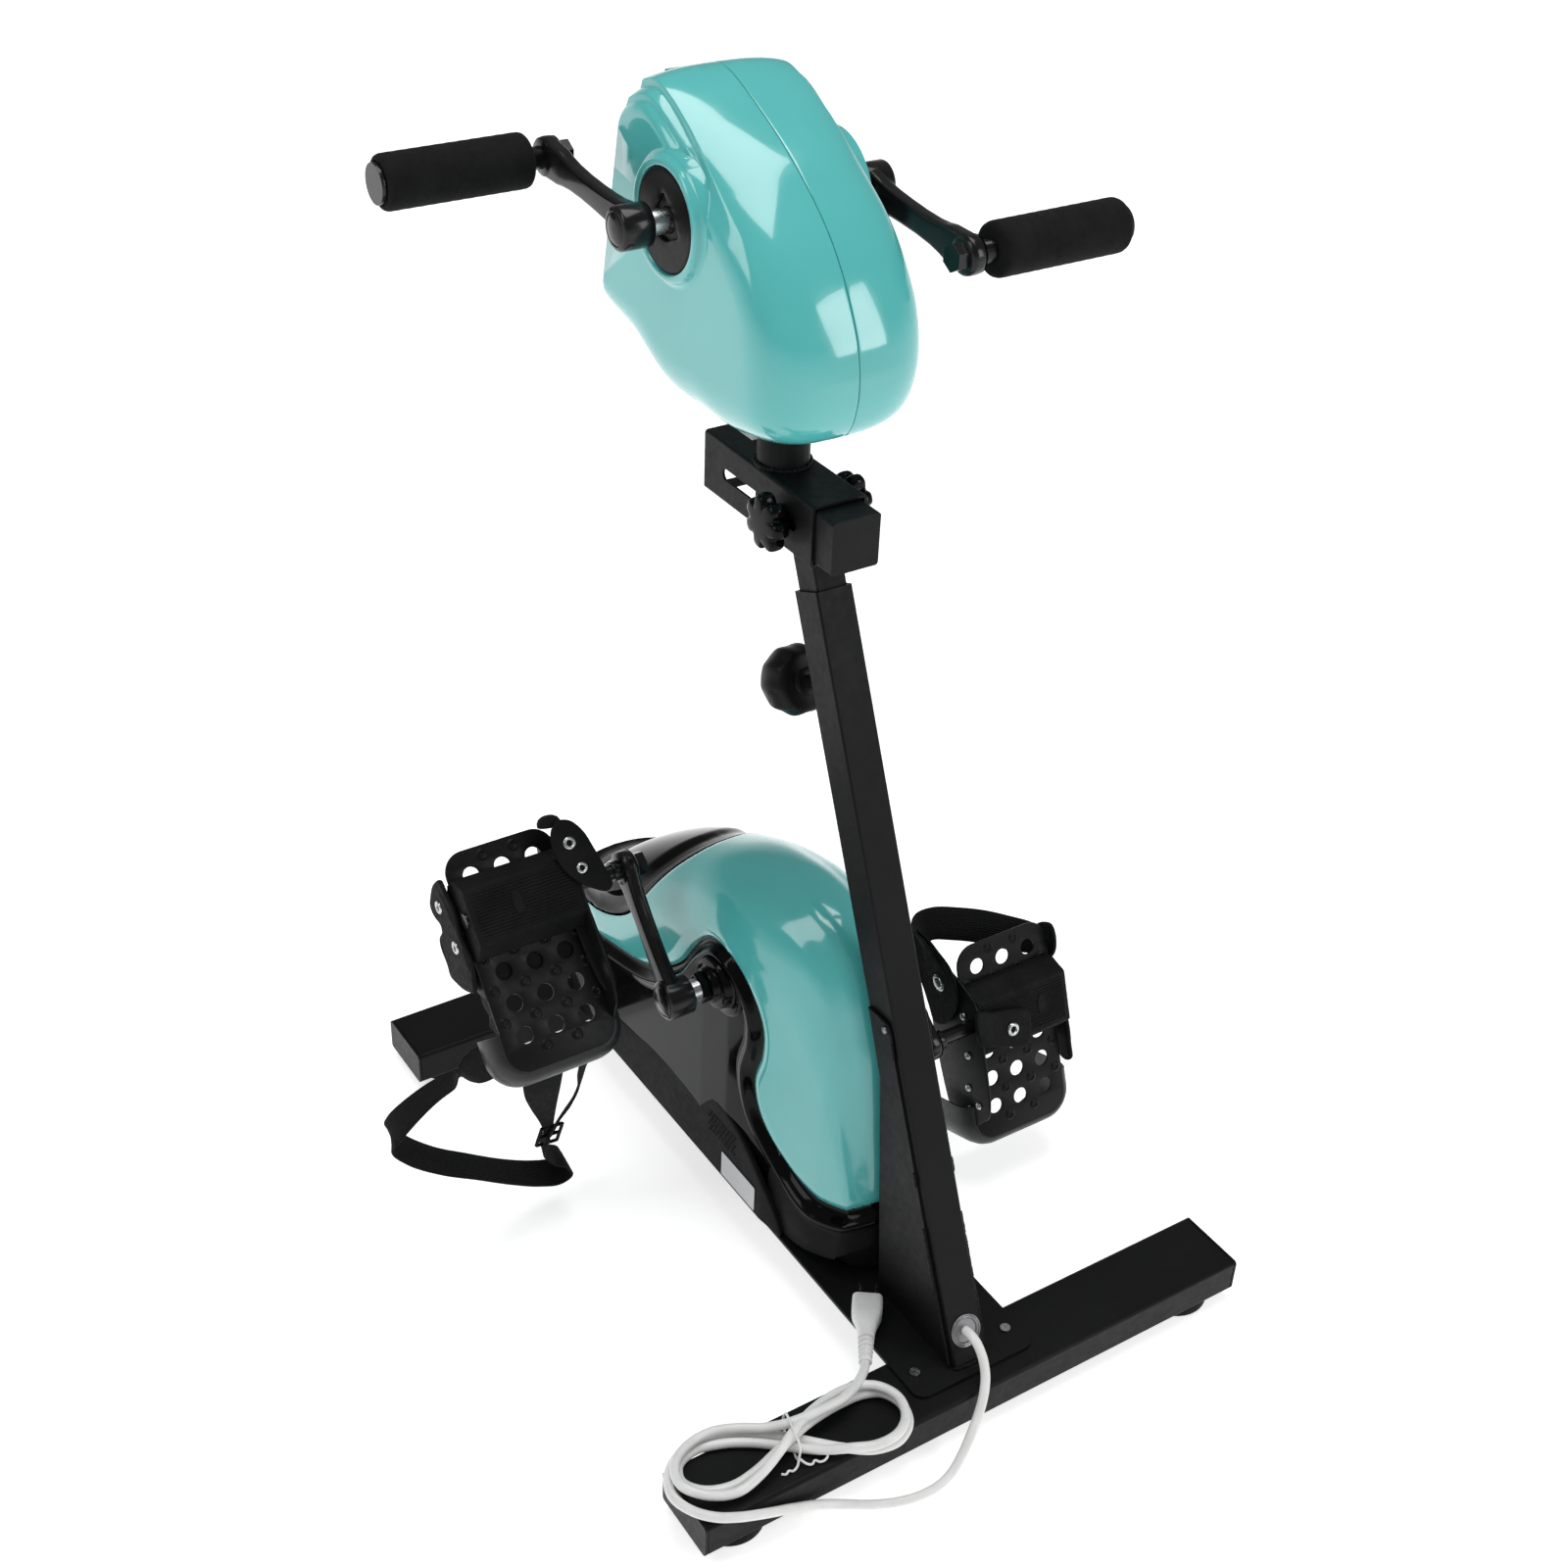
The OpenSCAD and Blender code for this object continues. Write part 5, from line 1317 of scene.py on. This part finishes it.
def strap(name, rows, body, replaces=(), n=150, thick=2.2):
    """A flat woven strap along (point, width, direction across) rows, laid as a sheet on its footplate."""
    q = spline([(*p, w, *a) for p, w, a in rows], n)
    p, w, a = q[:, :3], q[:, 3], q[:, 4:7]
    t = unit(np.gradient(p, axis=0))
    a = unit(a - np.sum(a * t, axis=1)[:, None] * t)
    normal = np.cross(t, a)
    along = lengths(p)
    section = band_section([(-0.5, 0), (-0.485, 0.34), (-0.46, 0.46), (-0.25, 0.5), (0, 0.5)])
    cup = 0.9 * np.sin(along * 0.045)
    grid = [[p[i] + a[i] * (x * w[i]) + normal[i] * (y * thick + cup[i] * (0.25 - x * x) * 1.6) for x, y in section]
            for i in range(n)]
    uv = np.array([[(along[i] / 1000, x * w[i] / 1000) for x, y in section] for i in range(n)]).reshape(-1, 2)
    ob = Shape().grid(grid, True, (True, True)).make(name, WEB, body, replaces, "webbing", angle=60, doubles=False)
    layer = ob.data.uv_layers.new(name="along")
    loops = np.empty(len(ob.data.loops), dtype=np.int32)
    ob.data.loops.foreach_get("vertex_index", loops)
    layer.data.foreach_set("uv", uv[loops].ravel())


strap("strap_loop_left", [
    ((-229.6, 337, 262), 25, (0, 1, 0)), ((-227, 335, 240), 30, (0, 1, -0.1)), ((-222, 333, 222), 36, (0.1, 1, -0.3)),
    ((-221, 331, 205), 44, (0, 0.3, -1)), ((-233, 331, 195), 48, (0, 0.15, -1)), ((-250, 333, 189), 40, (0, 0.3, -1)),
    ((-264, 336, 183), 22, (0.1, 1, -0.1)), ((-280, 341, 172), 21, (0.2, 1, 0.3)),
    ((-298, 344, 158), 24, (0.25, 1, 0.5)), ((-309, 346, 146), 27, (0.3, 1, 0.6)),
    ((-311.5, 346, 139), 28, (0.2, 1, 0.7)),
    ((-302, 343, 124), 28, (0.1, 1, 0.55)), ((-278, 340, 103), 27, (0, 1, 0.45)), ((-248, 340, 82), 26, (0, 1, 0.4)),
    ((-216, 343, 58), 25, (0, 1, 0.45)), ((-188, 346, 40), 25, (0, 1, 0.5)), ((-170, 347, 33), 25, (0, 1, 0.5)),
    ((-161, 347, 36), 25, (0, 1, 0.4)), ((-163, 346, 46), 24, (0, 1, 0.3)), ((-175, 344, 57), 22, (0.2, 1, 0.2)),
    ((-184, 341, 72), 20, (0.3, 1, 0)), ((-179, 338, 88), 19, (0.5, 1, 0))], "pedal_left", ("strap_left",), 230)
strap("strap_tail_left", [
    ((-179.5, 337, 84), 11, (0.8, 0.5, 0)), ((-171, 335, 101), 11, (0.8, 0.5, 0.2)),
    ((-160, 331, 121), 12, (0.7, 0.5, 0.3)), ((-155.5, 327, 140), 12, (0.6, 0.6, 0.3)),
    ((-157, 320, 160), 12, (0.8, 0.5, 0)), ((-158, 310, 182), 12, (0.9, 0.3, 0))], "pedal_left", n=90)
at, turned_by = pedal_frame(1)
strap("strap_loop_right", [(turned_by @ np.array(p) + at, w, turned_by @ np.array(a)) for p, w, a in (
    ((-50.3, -30, 26), 26, (0, 1, -0.5)), ((-50.2, -40, 38), 30, (0, 1, -0.5)), ((-49.4, -54, 52), 32, (0, 1, -0.3)),
    ((-46.5, -65, 61), 32, (0.1, 1, -0.1)), ((-40, -70, 64.5), 31, (0.2, 1, 0)), ((-30, -71, 63), 30, (0.25, 1, 0)),
    ((-12, -66, 58.5), 29, (-0.2, 1, 0)), ((10, -58, 51), 29, (-0.3, 1, 0)), ((30, -48, 42), 29, (-0.4, 1, 0)),
    ((42.5, -42, 34.5), 28, (-0.3, 1, 0)), ((48.6, -39, 25), 26, (0, 1, 0)), ((49.4, -38, 12), 25, (0, 1, 0)))],
      "pedal_right", ("strap_right",), 170)

# the tapered tongue under the left heel and the slide that joins it to the strap
section = [(c, d * 3.0) for c, d in band_section([(-0.5, 0), (-0.46, 0.4), (-0.38, 0.5)])]
across, normal = (0.97, -0.2, 0.1), (0.2, 0.93, 0.30)
tongue = spline([(-192, 316, 188, 34), (-192, 319, 172, 34), (-191, 323, 150, 30), (-187, 329, 128, 22),
                 (-182, 335, 106, 13), (-180, 337.5, 94, 9), (-179.6, 338, 86, 8)], 50)
s = Shape().grid([laid(q[:3], np.array(section) * (q[3], 1), across, normal) for q in tongue], True, (True, True))
s.make("heel_tongue_left", RUBBER, "pedal_left", (), "black_rubber", angle=60)
SLIDE_AT, SLIDE_UP, SLIDE_ACROSS = np.array([-181.5, 338, 78]), np.array([0.25, -0.12, 1]), np.array([-1, 0.12, 0])
bars = [[SLIDE_AT + SLIDE_UP * up + SLIDE_ACROSS * k for k in np.linspace(-9, 9, 12)] for up in (0, 9, 18)]
bars += [[SLIDE_AT + SLIDE_UP * up + SLIDE_ACROSS * k for up in np.linspace(0, 18, 10)] for k in (-9, 9)]
s = Shape()
for path in bars:
    s.grid(tube(path, 1.5, 10), True, (True, True))
s.make("strap_slide_left", GLOSS, "pedal_left", (), "black_gloss", angle=60)

# blank rating label and the vent holes on the cheeks of the base cover; the vents are shallow cups in darker rubber,
# painted shade for the dark inside of the holes
s = Shape()
slab(s, round_rect(51, 25, 1.5, 4), (-58.25, 238, 58), Y, Z, -X, 0, 0.35, 0.15, 1)
s.make("blank_label", LABEL, "base", (), "bright_steel", angle=30)
# vents: shallow cups in rubber darker than the cover, as painted shade for the inside of each hole
s = Shape()
arch_y, arch_z = spline(ARCH, 160).T
for i in range(9):
    for j in range(5):
        y, z = 246 + 4.6 * i + 2.3 * (j % 2), 80 + 4.4 * j
        if z < np.interp(y, arch_y, arch_z) - 7:
            for side in (-1, 1):
                s.turn([(1.45, 0.0), (1.3, 0.12), (0.95, 0.05), (0.9, -0.3), (0.01, -0.35)],
                       (side * CHEEK_X, y, z), (side, 0, 0), 12)
s.make("vent_holes", RUBBER, "base", (), "base_matte", angle=60)
